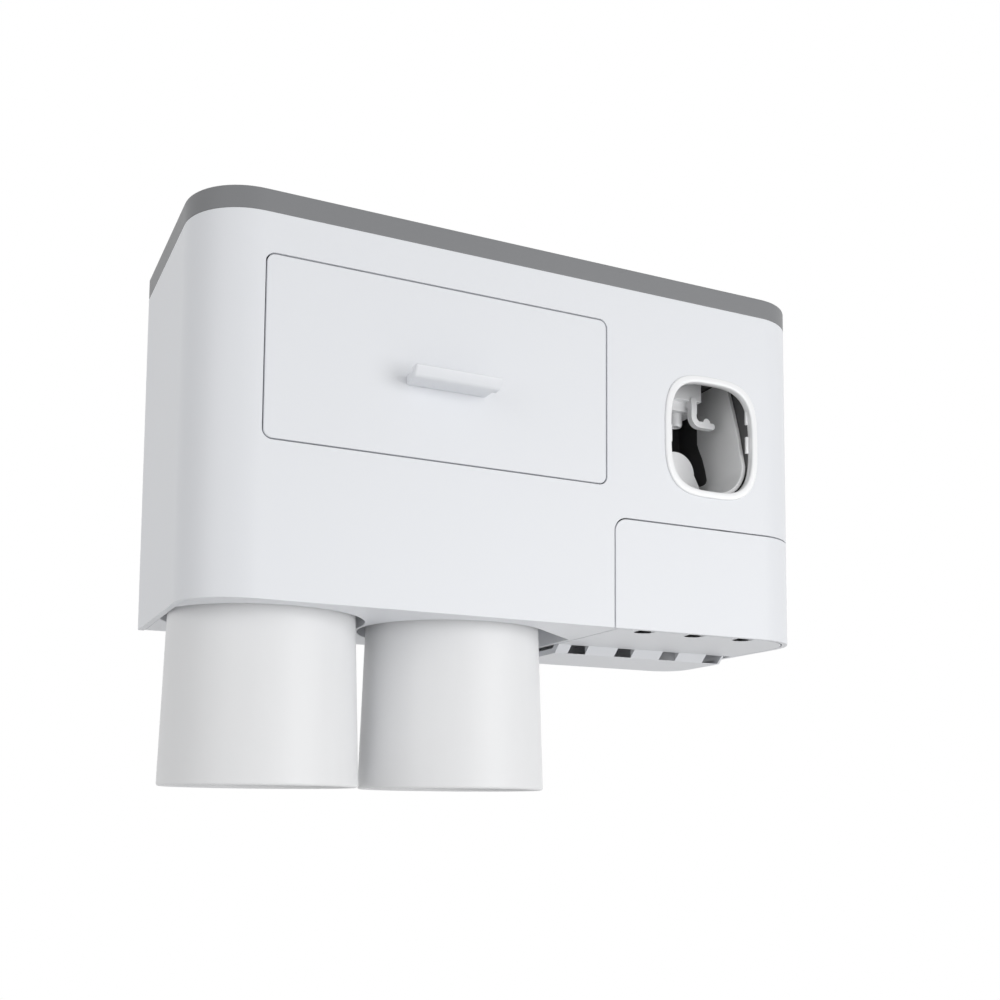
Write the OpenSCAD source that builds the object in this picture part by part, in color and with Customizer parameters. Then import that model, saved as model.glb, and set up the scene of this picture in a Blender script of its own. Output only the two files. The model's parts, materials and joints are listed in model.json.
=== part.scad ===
// Wall-hung bathroom organiser with two hanging cups, a drawer, a covered brush bay and a
// push-to-feed paste dispenser. Lengths are millimetres. X runs along the wall, Y points to
// the wall and Z up. The origin is on the wall plane, at the middle of the wall bracket.
// Modules are drawn from the front face (Y = 0) and the underside (Z = 0) of the shell, and
// on_wall() then moves them to the wall.

/* [Shell] */
// Width of the white shell
body_w = 254; // [250:1:290]
// Depth of the white shell, from its front face to its rear edge
body_d = 94; // [92:1:110]
// Height of the white shell without the tray rim
body_h = 134; // [132:1:150]
// Radius of the two upright front corners
corner_r = 23; // [14:1:26]
// Thickness of the shell's walls
wall = 2.4; // [1.8:0.1:2.8]
// Height of the mount's centre above the underside
mount_h = 84; // [76:1:90]

/* [Top tray] */
// Height of the grey rim above the shell
rim_h = 8; // [5:0.5:12]
// Thickness of the rim
rim_t = 3; // [2.4:0.1:4]
// Depth of the tray's recess below the rim
tray_deep = 12; // [9:0.5:13]

/* [Drawer] */
// Distance from the shell's left side to the drawer opening
drawer_in = 23.4; // [23:0.2:26]
// Distance from the drawer opening to the shell's right side
drawer_right_in = 96.5; // [95:0.5:120]
// Height of the underside of the drawer opening
drawer_z = 54.6; // [54:0.2:58]
// Distance from the drawer opening to the top of the shell
drawer_top_in = 14.2; // [13:0.2:30]
// Room between the drawer's tray and the bracket's hooks
drawer_rear_gap = 6.3; // [4:0.1:26]
// Width of the handle
handle_w = 33.5; // [24:0.5:60]
// How far the handle stands out
handle_d = 13; // [9:0.5:20]

/* [Cups] */
// Height of a cup
cup_len = 90; // [80:1:94]
// How far a cup hangs below the underside
cup_drop = 61.5; // [50:0.5:66]
// How much the radius of a cup grows from its closed end to its mouth
cup_taper = 2.8; // [1:0.1:4]
// Thickness of a cup's wall
cup_t = 1.9; // [1.2:0.1:2.6]
// Room between the two cups at the underside
cup_apart = 7.6; // [7:0.2:12]
// Finger room between the second cup and the brush bay
finger_room = 15.6; // [12:0.2:18]
// How far the cup axes stand in front of the middle of the depth
cup_forward = 0.6; // [0:0.1:2]

/* [Brush bay] */
// Width of the dust cover, measured to the shell's right side
cover_w = 92.8; // [86:0.5:93]
// Distance from the dust cover to the top of the shell
cover_down = 91.6; // [91:0.2:98]
// How far the dust cover wraps along the shell's right side
cover_wrap = 50; // [32:1:56]
// Number of neck slots
slot_count = 3; // [1:1:3]
// Distance between neck slots
slot_pitch = 23.2; // [20:0.2:24]
// Width of a neck slot
slot_w = 7.6; // [6:0.2:9]

/* [Dispenser] */
// Distance from the shell's right side to the middle of the window
window_in = 48.2; // [46:0.2:50]
// Distance from the top of the shell to the middle of the window
window_down = 54.2; // [52:0.2:55]
// Outer width of the window ring
ring_w = 44.3; // [42:0.1:45]
// Outer height of the window ring
ring_h = 49.5; // [46:0.1:50]
// Width of the ring's band
ring_band = 2.8; // [2:0.1:3.4]
// Bore radius of the socket that grips the paste tube's neck
socket_bore_r = 6.5; // [5:0.1:7]
// Bore radius of the pump barrel
barrel_r = 6; // [4.5:0.1:6.4]
// Largest push angle of the paddle, in degrees
paddle_turn = 12; // [6:1:12]

/* [Wall bracket] */
// Width of the wall bracket
bracket_w = 150; // [146:1:170]
// Height of the wall bracket
bracket_h = 44; // [42:1:50]
// Distance between screw holes along the wall
screw_dx = 120; // [110:1:124]
// Distance between screw holes up the wall
screw_dz = 28; // [22:1:30]
// Radius of the wall screw holes
screw_hole_r = 2.25; // [1.6:0.05:2.75]

/* [Hidden] */
$fn = 64;

// Colours
shell_white = [0.90, 0.91, 0.93];
tray_grey = [0.50, 0.51, 0.52];
gloss_white = [0.97, 0.97, 0.98];
frost_white = [0.86, 0.87, 0.87];
guide_grey = [0.62, 0.63, 0.64];
case_dark = [0.20, 0.20, 0.21];
rubber_grey = [0.45, 0.46, 0.47];
steel_grey = [0.72, 0.73, 0.75];
magnet_grey = [0.55, 0.56, 0.58];

// Shared small sizes
over = 1;
face_gap = 0.3;
seat_gap = 0.1;
seam = 0.5;
pin_gap = 0.05;
press_gap = 0.02;

// Sides of the shell
left = -body_w / 2;
right = body_w / 2;
in_left = left + wall;
in_right = right - wall;

// Wall side: rear panel, bracket and pad, from the front to the wall
back_t = 2.2;
back_inset = 1;
bracket_gap = 0.2;
bracket_t = 2;
pad_t = 0.8;
back_y = body_d - back_inset - back_t;
bracket_y = body_d - back_inset + bracket_gap;
wall_y = bracket_y + bracket_t + pad_t;

// Rear panel: screws, posts, ribs and hook slots
post_r = 4.4;
post_len = 26;
post_bore_r = 1.2;
post_in = post_r - seat_gap;
post_low_z = 52;
post_high_z = body_h - tray_deep - post_r - wall;
back_screw_r = 1.1;
back_screw_head_r = 2.6;
back_screw_head_t = 1.3;
back_screw_len = 12;
back_rib_t = 1.6;
back_rib_h = 3;
back_rib_in = 12;
hook_w = 22;
hook_dx = 80;
hook_t = 2.4;
hook_lip_t = 1.8;
hook_lip_h = 6;
hook_reach = bracket_gap + back_t + face_gap + hook_lip_t;
hook_top_z = mount_h + hook_t;
slot_side_gap = 1;
screw_room_r = 5.5;

// Adhesive pad
pad_in = 3;
pad_hole_r = 6;

// Top tray
tray_fit = 0.3;
tray_floor_t = 2;
tray_skirt_t = 2;
tray_floor_z = body_h + rim_h - tray_deep;
tray_corner_r = 6;
collar_t = 2;
collar_h = 3;
drain_rib_count = 7;
drain_rib_pitch = 18;
drain_rib_w = 1.6;
drain_rib_h = 0.8;
drain_rib_in = 10;

// Dispenser places
win_x = right - window_in;
socket_back = 9;
socket_wall = 3.2;
socket_flange = 3;
socket_flange_t = 1.6;
socket_len = 13;
hose_r = 4.4;
hose_bore_r = 2.8;

// Window ring
ring_power = 3.3;
ring_points = 96;
ring_proud = 0.8;
ring_sleeve_t = 1.4;
ring_fit = 0.15;
ring_tab_w = 1.5;
ring_tab_h = 7;
ring_tab_t = 1.2;
ring_tab_gap = 12;
ring_tab_count = 2;

// Dispenser case
case_half_w = 21;
case_t = 1.8;
case_h = 66.6;
case_top_in = 21;
case_front_gap = 0.2;
case_front = wall + case_front_gap;
case_deep = 54;
case_high = body_h - case_top_in;
case_low = case_high - case_h;
case_ear_r = 3.6;
case_ear_t = 2.4;
case_ear_up = 9.6;
case_ear_down = 7;
case_ear_z = [case_low + case_ear_up, case_high - case_ear_down];
case_boss_len = 6;
case_screw_r = 1.1;
case_screw_bore_r = 1.2;
case_screw_hole_r = 1.4;
case_screw_head_r = 2.4;
case_screw_head_t = 1.4;
case_screw_len = 7;
hose_hole_gap = 0.4;

// Brush guide
guide_half_w = 17.2;
guide_t = 1.9;
guide_floor_up = 12.6;
guide_floor_z = case_low + guide_floor_up;
guide_corner_r = 12.5;
guide_top_z = case_high - case_t - face_gap;
guide_rear_back = 18.5;
guide_rear = case_deep - guide_rear_back;
guide_front_low = 3.4;
guide_front_mid = 7.5;
guide_front_top = 15;
guide_mid_down = 25;
guide_mid_z = case_high - guide_mid_down;
guide_slot_half_w = 8.2;
guide_slot_back = 30.5;
guide_slot_y = case_deep - guide_slot_back;
guide_notch_d = 7;
guide_notch_h = 19;
guide_notch_sink = 1.5;

// Nozzle block and its hook
block_half_w = 7.6;
block_back = 36;
block_y = case_deep - block_back;
block_rear_back = 20;
block_rear = case_deep - block_rear_back;
block_down = 16;
block_low = case_high - block_down;
block_step_d = 3;
block_step_down = 12;
block_step_z = case_high - block_step_down;
nozzle_back = 28;
nozzle_y = case_deep - nozzle_back;
nozzle_bore_r = 1.6;
nozzle_r = 2.8;
nozzle_tip_r = 2.3;
nozzle_len = 5.6;
nozzle_flange_r = 3.8;
nozzle_flange_t = 1.2;
hook_back = 37;
hook_y = case_deep - hook_back;
hook_d = 3;
hook_bar = 2.6;
hook_turn_r = 4.6;
hook_left = 2;
hook_right = 12.5;
hook_knob_r = 1.7;
hook_knob_x = 9.6;

// Paddle
paddle_back = 28.4;
paddle_y = case_deep - paddle_back;
paddle_t = 2.4;
paddle_top_up = 34.6;
paddle_top_z = case_low + paddle_top_up;
paddle_top_r = 9;
paddle_half_w = 12.2;
paddle_shoulder_up = 19.6;
paddle_shoulder_z = case_low + paddle_shoulder_up;
paddle_low_up = 14.2;
paddle_low_z = case_low + paddle_low_up;
paddle_stem_half_w = 4.6;
pivot_back = 23;
pivot_y = case_deep - pivot_back;
pivot_up = 9.2;
pivot_z = case_low + pivot_up;
hub_r = 2.8;
paddle_pin_r = 1.5;
paddle_pin_half = 11;
paddle_ear_t = 2.4;
paddle_ear_gap = 0.4;
paddle_arm_t = 2;
paddle_arm_len = 14;
spring_back = 12;
spring_y = case_deep - spring_back;
spring_r = 3;
spring_wire_r = 0.45;
spring_turns = 4;
spring_steps = 12;
spring_sides = 6;

// Pump
pump_up = 26.2;
pump_z = case_low + pump_up;
pump_wall = 2.2;
pump_front_back = 19.8;
pump_front = case_deep - pump_front_back;
pump_end_t = 2;
pump_stub_r = 6;
pump_stub_up = 40.6;
pump_stub_top = case_low + pump_stub_up;
riser_back = 16.6;
riser_y = case_deep - riser_back;
riser_r = 2.9;
riser_bore_r = 1.6;
duct_r = 2.4;
duct_bore_r = 1.3;
riser_down = 7;
riser_top = case_high - riser_down;
plunger_rod_r = 3;
stroke_room = 7.6;
piston_len = 5;
seal_w = 1.6;
seal_in = 1.3;
valve_r = 3.6;
valve_t = 1;

// Cup dock
pocket_gap = 3.3;
dock_t = 1.8;
dock_flange_t = 2;
dock_front = wall + seat_gap;
dock_tip_front = 8;
dock_tip_back = 24;
dock_tip_share = 0.707;
magnet_r = 10;
magnet_t = 3;
magnet_ring_t = 1.6;
disc_r = 11;
disc_t = 0.9;
cup_side_gap = 0.4;
cup_round_r = 5;
cup_round_steps = 8;
cup_lip_r = 0.45;

// Brush bay
cover_t = 2.2;
cover_corner_r = 5;
cover_rim_r = 1.2;
hinge_down = 7.5;
bar_r = 2.5;
rod_r = 1;
ear_r = 1.7;
ear_w = 4;
ear_room = 0.5;
ear_in = 5;
ear_pitch = 45.5;
arm_up = 0.8;
arm_y = 11.4;
arm_d = 3;
bay_t = 1.8;
bay_ceiling_up = 1.8;
bay_rear = cover_wrap;
bay_side_in = 2.3;
rack_t = 2.2;
rack_front_gap = 0.5;
rack_front = cover_t + rack_front_gap;
rack_drop = 3.4;
rack_step = 3.8;
rack_corner_r = 12;
rack_side_in = 5;
slot_first = 15.7;
slot_deep = 6.4;
drain_count = 4;
drain_pitch = 22.6;
drain_first = 12.5;
drain_w = 8.3;

// Drawer
front_corner_r = 3;
front_t = 2.4;
tray_side_in = 3.4;
tray_low_in = 2.6;
tray_high_in = 12;
drawer_wall = 1.6;
drawer_floor_t = 1.8;
drawer_inner_r = 6;
runner_h = 2.4;
runner_d = 1.2;
runner_up = 22;
bay_wall = 1.6;
bay_floor_t = 1.8;
bay_side_gap = 0.4;
bay_up = 34;
bay_lip_h = 3;
divider_share = 0.62;
divider_t = 1.4;
handle_bar_h = 4.2;
handle_bar_t = 4.4;
handle_stem_h = 3.4;
handle_stem_in = 1.2;
handle_z_share = 0.43;
handle_round_r = 1.6;
handle_screw_dx = 18;
handle_screw_r = 1;
handle_screw_bore_r = 1.05;
handle_screw_hole_r = 1.3;
handle_screw_head_r = 2.2;
handle_screw_head_t = 1.2;
handle_screw_len = 9;

// Values worked out from the sizes above
window_z = body_h - window_down;
socket_y = case_deep - socket_back;
drawer_w = body_w - drawer_in - drawer_right_in;
drawer_h = body_h - drawer_z - drawer_top_in;
drawer_d = bracket_y - hook_reach - front_t - drawer_rear_gap;
drawer_x = left + drawer_in;
drawer_mid_x = drawer_x + drawer_w / 2;
handle_z = drawer_z + drawer_h * handle_z_share;
cover_h = body_h - cover_down;
cover_x = right - cover_w;
bay_x = cover_x + bay_side_in;
bay_ceiling_z = cover_h + bay_ceiling_up;
rack_x = bay_x + seat_gap;
dock_right = bay_x - face_gap;
cup_top = cup_len - cup_drop;
cup_level_r = (dock_right - in_left - cup_side_gap - cup_apart - finger_room) / 4;
cup_mouth_r = cup_level_r + cup_taper * cup_drop / cup_len;
cup_end_r = cup_mouth_r - cup_taper;
cup_pitch = 2 * cup_level_r + cup_apart;
cup_x = [in_left + cup_side_gap + cup_level_r, in_left + cup_side_gap + cup_level_r + cup_pitch];
cup_y = (dock_front + back_y - seat_gap) / 2 - cup_forward;
pocket_r = cup_level_r + pocket_gap;
dock_tip_half = pocket_r * dock_tip_share;
dock_ceiling = cup_top + face_gap;
axis_y = bar_r;
axis_z = cover_h - hinge_down;
ear_xs = [cover_x + ear_in, cover_x + ear_in + ear_pitch];
rod_x1 = ear_xs[1] + ear_w * 2;
paddle_x0 = win_x - paddle_half_w;
barrel_out_r = barrel_r + pump_wall;
barrel_rear = case_deep - case_t - seat_gap;
plunger_rod_end = barrel_rear - pump_end_t - stroke_room - piston_len;
plunger_nose_y = paddle_y + paddle_t + face_gap;
duct_z = riser_top - riser_r - face_gap;
spring_low = case_low + case_t;
spring_high = pivot_z - paddle_arm_t / 2;

// Places
module on_wall() {
    translate([0, -wall_y, -mount_h]) children();
}

// Extrudes a front view, drawn in X and Z, from depth y0 to depth y1
module along_y(y0, y1) {
    translate([0, y1, 0]) rotate([90, 0, 0]) linear_extrude(y1 - y0) children();
}

// Extrudes a side view, drawn in Y and Z, from x0 to x1
module along_x(x0, x1) {
    translate([x0, 0, 0]) rotate([90, 0, 90]) linear_extrude(x1 - x0) children();
}

module box(x0, x1, y0, y1, z0, z1) {
    translate([x0, y0, z0]) cube([x1 - x0, y1 - y0, z1 - z0]);
}

module rod_y(x, z, y0, y1, r) {
    translate([x, y1, z]) rotate([90, 0, 0]) cylinder(h = y1 - y0, r = r);
}

module rod_x(y, z, x0, x1, r) {
    translate([x0, y, z]) rotate([0, 90, 0]) cylinder(h = x1 - x0, r = r);
}

module rod_z(x, y, z0, z1, r) {
    translate([x, y, z0]) cylinder(h = z1 - z0, r = r);
}

// Rectangle with four round corners
module round_rect(x0, y0, w, h, r) {
    translate([x0 + r, y0]) square([w - 2 * r, h]);
    translate([x0, y0 + r]) square([w, h - 2 * r]);
    for (x = [x0 + r, x0 + w - r], y = [y0 + r, y0 + h - r]) translate([x, y]) circle(r);
}

// Plan of the shell, drawn in by a distance, with its two round front corners
module plan(inset = 0, rear = body_d) {
    r = corner_r - inset;
    translate([left + inset, corner_r]) square([body_w - 2 * inset, rear - corner_r]);
    translate([left + corner_r, inset]) square([body_w - 2 * corner_r, corner_r]);
    for (x = [left + corner_r, right - corner_r]) translate([x, corner_r]) circle(r);
}

// Front view of the window: each half axis follows a superellipse
module window_outline(w, h) {
    function bend(v) = sign(v) * pow(abs(v), 2 / ring_power);
    steps = [for (i = [0 : ring_points - 1]) 360 * i / ring_points];
    polygon([for (a = steps) [win_x + bend(cos(a)) * w / 2, window_z + bend(sin(a)) * h / 2]]);
}

// Front view of the dust cover, with its round upper left corner
module cover_front(grow = 0) {
    r = cover_corner_r + grow;
    x0 = cover_x - grow;
    top = cover_h + grow;
    translate([x0 + r, -over]) square([right + over - x0 - r, top + over]);
    translate([x0, -over]) square([cover_w, top + over - r]);
    translate([x0 + r, top - r]) circle(r);
}

// Side view of the dust cover, with its round upper rear corner
module cover_side(grow = 0) {
    r = cover_corner_r + grow;
    translate([-over, -over]) square([cover_wrap + grow + over, cover_h + grow + over - r]);
    translate([-over, -over]) square([cover_wrap + grow + over - r, cover_h + grow + over]);
    translate([cover_wrap + grow - r, cover_h + grow - r]) circle(r);
}

// Space that the dust cover fills in the shell, grown all round by a distance
module cover_zone(grow = 0) {
    intersection() {
        along_y(-over, cover_wrap + over) cover_front(grow);
        along_x(cover_x - over, right + over) cover_side(grow);
    }
}

// Shell

module back_post(x, z) {
    side = sign(x);
    rod_y(x, z, back_y - post_len, back_y - seat_gap, post_r);
    box(
        min(x, x + side * post_in), max(x, x + side * post_in),
        back_y - post_len, back_y - seat_gap, z - post_r / 2, z + post_r / 2
    );
}

post_xs = [in_left + post_in, in_right - post_in];
post_zs = [post_low_z, post_high_z];
case_ear_xs = [win_x - case_half_w - case_ear_r, win_x + case_half_w + case_ear_r];
case_ear_y = case_front + case_boss_len;

module housing_shell() color(shell_white) on_wall() {
    difference() {
        union() {
            linear_extrude(body_h) difference() {
                plan();
                plan(wall, body_d + over);
            }
            for (x = post_xs, z = post_zs) back_post(x, z);
            for (x = case_ear_xs, z = case_ear_z) rod_y(x, z, wall / 2, case_ear_y - seat_gap, case_ear_r);
        }
        along_y(-over, wall + over) round_rect(drawer_x, drawer_z, drawer_w, drawer_h, front_corner_r + seam);
        along_y(-over, wall + over)
            window_outline(ring_w - 2 * ring_sleeve_t + 2 * ring_fit, ring_h - 2 * ring_sleeve_t + 2 * ring_fit);
        cover_zone(seam);
        for (x = post_xs, z = post_zs) rod_y(x, z, back_y - back_screw_len, body_d, post_bore_r);
        for (x = case_ear_xs, z = case_ear_z)
            rod_y(x, z, case_ear_y + case_ear_t - case_screw_len, case_ear_y, case_screw_bore_r);
    }
}

module back_cover() color(shell_white) on_wall() {
    x0 = in_left + seat_gap;
    x1 = in_right - seat_gap;
    z0 = seat_gap;
    z1 = body_h - seat_gap;
    slot_low = hook_top_z - hook_t - hook_lip_h - face_gap;
    difference() {
        union() {
            box(x0, x1, back_y, back_y + back_t, z0, z1);
            for (z = [z0 + back_rib_in, mount_h + bracket_h / 2])
                box(x0 + back_rib_in, x1 - back_rib_in, back_y - back_rib_h, back_y, z, z + back_rib_t);
        }
        for (x = [-hook_dx / 2, hook_dx / 2])
            box(
                x - hook_w / 2 - slot_side_gap, x + hook_w / 2 + slot_side_gap,
                back_y - over, back_y + back_t + over, slot_low, hook_top_z + seat_gap
            );
        for (x = [-screw_dx / 2, screw_dx / 2], z = [-screw_dz / 2, screw_dz / 2])
            rod_y(x, mount_h + z, back_y - back_rib_h - over, back_y + back_t + over, screw_room_r);
        for (x = post_xs, z = post_zs) {
            rod_y(x, z, back_y - over, back_y + back_t + over, back_screw_r + seat_gap);
            rod_y(x, z, back_y + back_t - back_screw_head_t, back_y + back_t + over, back_screw_head_r + seat_gap);
        }
    }
}

module back_screws() color(steel_grey) on_wall() {
    for (x = post_xs, z = post_zs) {
        rod_y(x, z, back_y + back_t - back_screw_head_t, back_y + back_t, back_screw_head_r);
        rod_y(x, z, back_y - back_screw_len + over, back_y + back_t - back_screw_head_t, back_screw_r);
    }
}

module wall_bracket() color(gloss_white) on_wall() {
    z0 = mount_h - bracket_h / 2;
    difference() {
        union() {
            along_y(bracket_y, bracket_y + bracket_t)
                round_rect(-bracket_w / 2, z0, bracket_w, bracket_h, pad_in * 2);
            for (x = [-hook_dx / 2, hook_dx / 2]) {
                box(x - hook_w / 2, x + hook_w / 2, bracket_y - hook_reach, bracket_y, mount_h, hook_top_z);
                box(
                    x - hook_w / 2, x + hook_w / 2,
                    bracket_y - hook_reach, bracket_y - hook_reach + hook_lip_t, hook_top_z, hook_top_z + hook_lip_h
                );
            }
        }
        for (x = [-screw_dx / 2, screw_dx / 2], z = [-screw_dz / 2, screw_dz / 2])
            rod_y(x, mount_h + z, bracket_y - over, bracket_y + bracket_t + over, screw_hole_r);
    }
}

module adhesive_pad() color(rubber_grey) on_wall() {
    z0 = mount_h - bracket_h / 2 + pad_in;
    along_y(bracket_y + bracket_t, wall_y) difference() {
        round_rect(-bracket_w / 2 + pad_in, z0, bracket_w - 2 * pad_in, bracket_h - 2 * pad_in, pad_in);
        for (x = [-screw_dx / 2, screw_dx / 2], z = [-screw_dz / 2, screw_dz / 2])
            translate([x, mount_h + z]) circle(pad_hole_r);
    }
}

// Top tray

module top_tray() color(tray_grey) on_wall() {
    collar_r = socket_bore_r + socket_wall + seat_gap;
    skirt_in = wall + tray_fit;
    rib_x0 = in_left + drain_rib_in;
    difference() {
        union() {
            translate([0, 0, body_h]) linear_extrude(rim_h) plan();
            translate([0, 0, tray_floor_z - tray_floor_t])
                linear_extrude(tray_deep - rim_h + tray_floor_t) plan(skirt_in, back_y - tray_fit);
        }
        translate([0, 0, tray_floor_z]) linear_extrude(tray_deep + over) difference() {
            plan(rim_t + tray_fit, back_y - tray_fit - tray_skirt_t);
            translate([win_x, socket_y]) circle(collar_r + collar_t);
        }
        rod_z(win_x, socket_y, tray_floor_z + collar_h, body_h + rim_h + over, collar_r + collar_t);
        rod_z(win_x, socket_y, tray_floor_z - tray_floor_t - over, body_h + rim_h + over, collar_r);
    }
    for (i = [0 : drain_rib_count - 1])
        box(
            rib_x0 + i * drain_rib_pitch, rib_x0 + i * drain_rib_pitch + drain_rib_w,
            corner_r, back_y - corner_r, tray_floor_z, tray_floor_z + drain_rib_h
        );
}

module tube_socket() color(rubber_grey) on_wall() {
    top = tray_floor_z + collar_h;
    r = socket_bore_r + socket_wall;
    difference() {
        union() {
            rod_z(win_x, socket_y, top, top + socket_flange_t, r + socket_flange);
            rod_z(win_x, socket_y, top - socket_len, top, r);
        }
        rod_z(win_x, socket_y, top - socket_len + socket_flange_t, top + socket_flange_t + over, socket_bore_r);
        rod_z(win_x, socket_y, top - socket_len - over, top, hose_r + pin_gap);
    }
}

// Dispenser

module window_ring() color(gloss_white) on_wall() {
    sleeve_w = ring_w - 2 * ring_sleeve_t;
    sleeve_h = ring_h - 2 * ring_sleeve_t;
    open_w = ring_w - 2 * ring_band;
    open_h = ring_h - 2 * ring_band;
    difference() {
        union() {
            along_y(-ring_proud, 0) window_outline(ring_w, ring_h);
            along_y(-ring_proud, wall) window_outline(sleeve_w, sleeve_h);
        }
        along_y(-ring_proud - over, wall + over) window_outline(open_w, open_h);
    }
    for (side = [-1, 1], i = [0 : ring_tab_count - 1])
        box(
            win_x + side * (open_w / 2 - ring_tab_w / 2) - ring_tab_w / 2,
            win_x + side * (open_w / 2 - ring_tab_w / 2) + ring_tab_w / 2,
            wall - ring_tab_t, wall,
            window_z + i * ring_tab_gap - ring_tab_h / 2, window_z + i * ring_tab_gap + ring_tab_h / 2
        );
}

module dispenser_case() color(case_dark) on_wall() {
    x0 = win_x - case_half_w;
    x1 = win_x + case_half_w;
    ear_x = paddle_stem_half_w + paddle_ear_gap;
    difference() {
        union() {
            difference() {
                box(x0, x1, case_front, case_deep, case_low, case_high);
                box(x0 + case_t, x1 - case_t, case_front - over, case_deep - case_t, case_low + case_t, case_high - case_t);
            }
            for (x = case_ear_xs, z = case_ear_z) {
                rod_y(x, z, case_ear_y, case_ear_y + case_ear_t, case_ear_r);
                box(
                    min(x, win_x + sign(x - win_x) * case_half_w), max(x, win_x + sign(x - win_x) * case_half_w),
                    case_ear_y, case_ear_y + case_ear_t, z - case_ear_r, z + case_ear_r
                );
            }
            for (side = [-1, 1]) along_x(
                win_x + min(side * ear_x, side * (ear_x + paddle_ear_t)),
                win_x + max(side * ear_x, side * (ear_x + paddle_ear_t))
            ) {
                translate([pivot_y, pivot_z]) circle(hub_r);
                translate([pivot_y - hub_r, case_low + case_t / 2]) square([2 * hub_r, pivot_z - case_low - case_t / 2]);
            }
            rod_z(win_x, spring_y, case_low + case_t / 2, case_low + case_t + spring_wire_r, spring_r - 2 * spring_wire_r);
        }
        rod_x(pivot_y, pivot_z, x0 + case_t, x1 - case_t, paddle_pin_r + press_gap);
        rod_z(win_x, socket_y, case_high - case_t - over, case_high + over, hose_r + hose_hole_gap);
        for (x = case_ear_xs, z = case_ear_z) rod_y(x, z, case_ear_y - over, case_ear_y + case_ear_t + over, case_screw_hole_r);
    }
}

module case_screws() color(steel_grey) on_wall() {
    y1 = case_ear_y + case_ear_t;
    for (x = case_ear_xs, z = case_ear_z) {
        rod_y(x, z, y1, y1 + case_screw_head_t, case_screw_head_r);
        rod_y(x, z, y1 - case_screw_len + seat_gap, y1, case_screw_r);
    }
}

// Front view of the U-shaped chute, grown outwards by a distance
module chute_front(grow) {
    r = guide_corner_r + grow;
    half = guide_half_w + grow;
    floor_z = guide_floor_z - grow;
    translate([win_x - half, floor_z + r]) square([2 * half, guide_top_z - floor_z - r]);
    translate([win_x - half + r, floor_z]) square([2 * (half - r), r + over]);
    for (x = [win_x - half + r, win_x + half - r]) translate([x, floor_z + r]) circle(r);
}

module brush_guide() color(guide_grey) on_wall() {
    z0 = guide_floor_z - guide_t - over;
    notch_z = guide_floor_z + guide_corner_r - guide_notch_sink;
    notch_shares = [[0, 0.74], [0.02, 0.9], [0.08, 1], [0.3, 0.85], [0.6, 0.55], [0.85, 0.18], [1, 0]];
    notch = concat(
        [for (s = notch_shares) [guide_rear - s[1] * guide_notch_d, notch_z + s[0] * guide_notch_h]],
        [[guide_rear + over, notch_z + guide_notch_h], [guide_rear + over, notch_z]]
    );
    rim = [
        [-over, z0], [guide_front_low, z0], [guide_front_low, guide_floor_z + guide_corner_r],
        [guide_front_mid, guide_mid_z], [guide_front_top, guide_top_z + over], [-over, guide_top_z + over]
    ];
    difference() {
        along_y(guide_front_low, guide_rear) difference() {
            chute_front(guide_t);
            chute_front(0);
            translate([win_x - guide_half_w, guide_top_z - over]) square([2 * guide_half_w, 2 * over]);
        }
        along_x(win_x - guide_half_w - guide_t - over, win_x + guide_half_w + guide_t + over) polygon(rim);
        along_x(win_x - guide_half_w - guide_t - over, win_x + guide_half_w + guide_t + over) polygon(notch);
        box(
            win_x - guide_slot_half_w, win_x + guide_slot_half_w,
            guide_slot_y, guide_rear + over, z0, guide_floor_z + over
        );
    }
}

module nozzle_block() color(guide_grey) on_wall() {
    top = case_high - case_t;
    hook_z = block_low - hook_turn_r - hook_bar;
    difference() {
        union() {
            box(win_x - block_half_w, win_x + block_half_w, block_y + block_step_d, block_rear, block_low, top);
            box(win_x - block_half_w, win_x + block_half_w, block_y, block_rear, block_step_z, top);
            along_y(hook_y, hook_y + hook_d) {
                translate([win_x + hook_left, hook_z + hook_turn_r])
                    square([hook_bar, block_step_z - hook_z - hook_turn_r + over]);
                difference() {
                    translate([win_x + hook_left + hook_turn_r, hook_z + hook_turn_r]) circle(hook_turn_r);
                    translate([win_x + hook_left + hook_turn_r, hook_z + hook_turn_r]) circle(hook_turn_r - hook_bar);
                    translate([win_x + hook_left, hook_z + hook_turn_r]) square([2 * hook_turn_r, hook_turn_r]);
                    translate([win_x + hook_left + hook_turn_r, hook_z]) square([hook_turn_r, 2 * hook_turn_r]);
                }
                translate([win_x + hook_left + hook_turn_r, hook_z]) square([hook_right - hook_left - hook_turn_r, hook_bar]);
                translate([win_x + hook_right, hook_z + hook_bar / 2]) circle(hook_bar / 2);
                translate([win_x + hook_knob_x, hook_z + hook_bar]) circle(hook_knob_r);
            }
            box(
                win_x + hook_left, win_x + hook_left + hook_bar,
                hook_y, block_y + block_step_d, block_step_z - hook_bar, block_step_z + over
            );
        }
        rod_z(win_x, nozzle_y, block_low - over, duct_z, nozzle_bore_r + press_gap);
        rod_z(win_x, nozzle_y, block_low - over, block_low + nozzle_flange_t, nozzle_flange_r + seat_gap);
        rod_y(win_x, duct_z, nozzle_y, block_rear + over, duct_bore_r);
    }
}

module nozzle() color(gloss_white) on_wall() {
    tip = block_low - nozzle_len;
    translate([win_x, nozzle_y, 0]) rotate_extrude() polygon([
        [nozzle_bore_r, tip], [nozzle_tip_r, tip], [nozzle_r, tip + nozzle_flange_t], [nozzle_r, block_low],
        [nozzle_flange_r, block_low], [nozzle_flange_r, block_low + nozzle_flange_t],
        [nozzle_bore_r, block_low + nozzle_flange_t]
    ]);
}

module feed_tube() color(rubber_grey) on_wall() {
    difference() {
        rod_z(win_x, socket_y, pump_stub_top - face_gap, tray_floor_z + collar_h - socket_len + socket_flange_t, hose_r);
        rod_z(win_x, socket_y, pump_stub_top - over, tray_floor_z + collar_h, hose_bore_r);
    }
}

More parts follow.
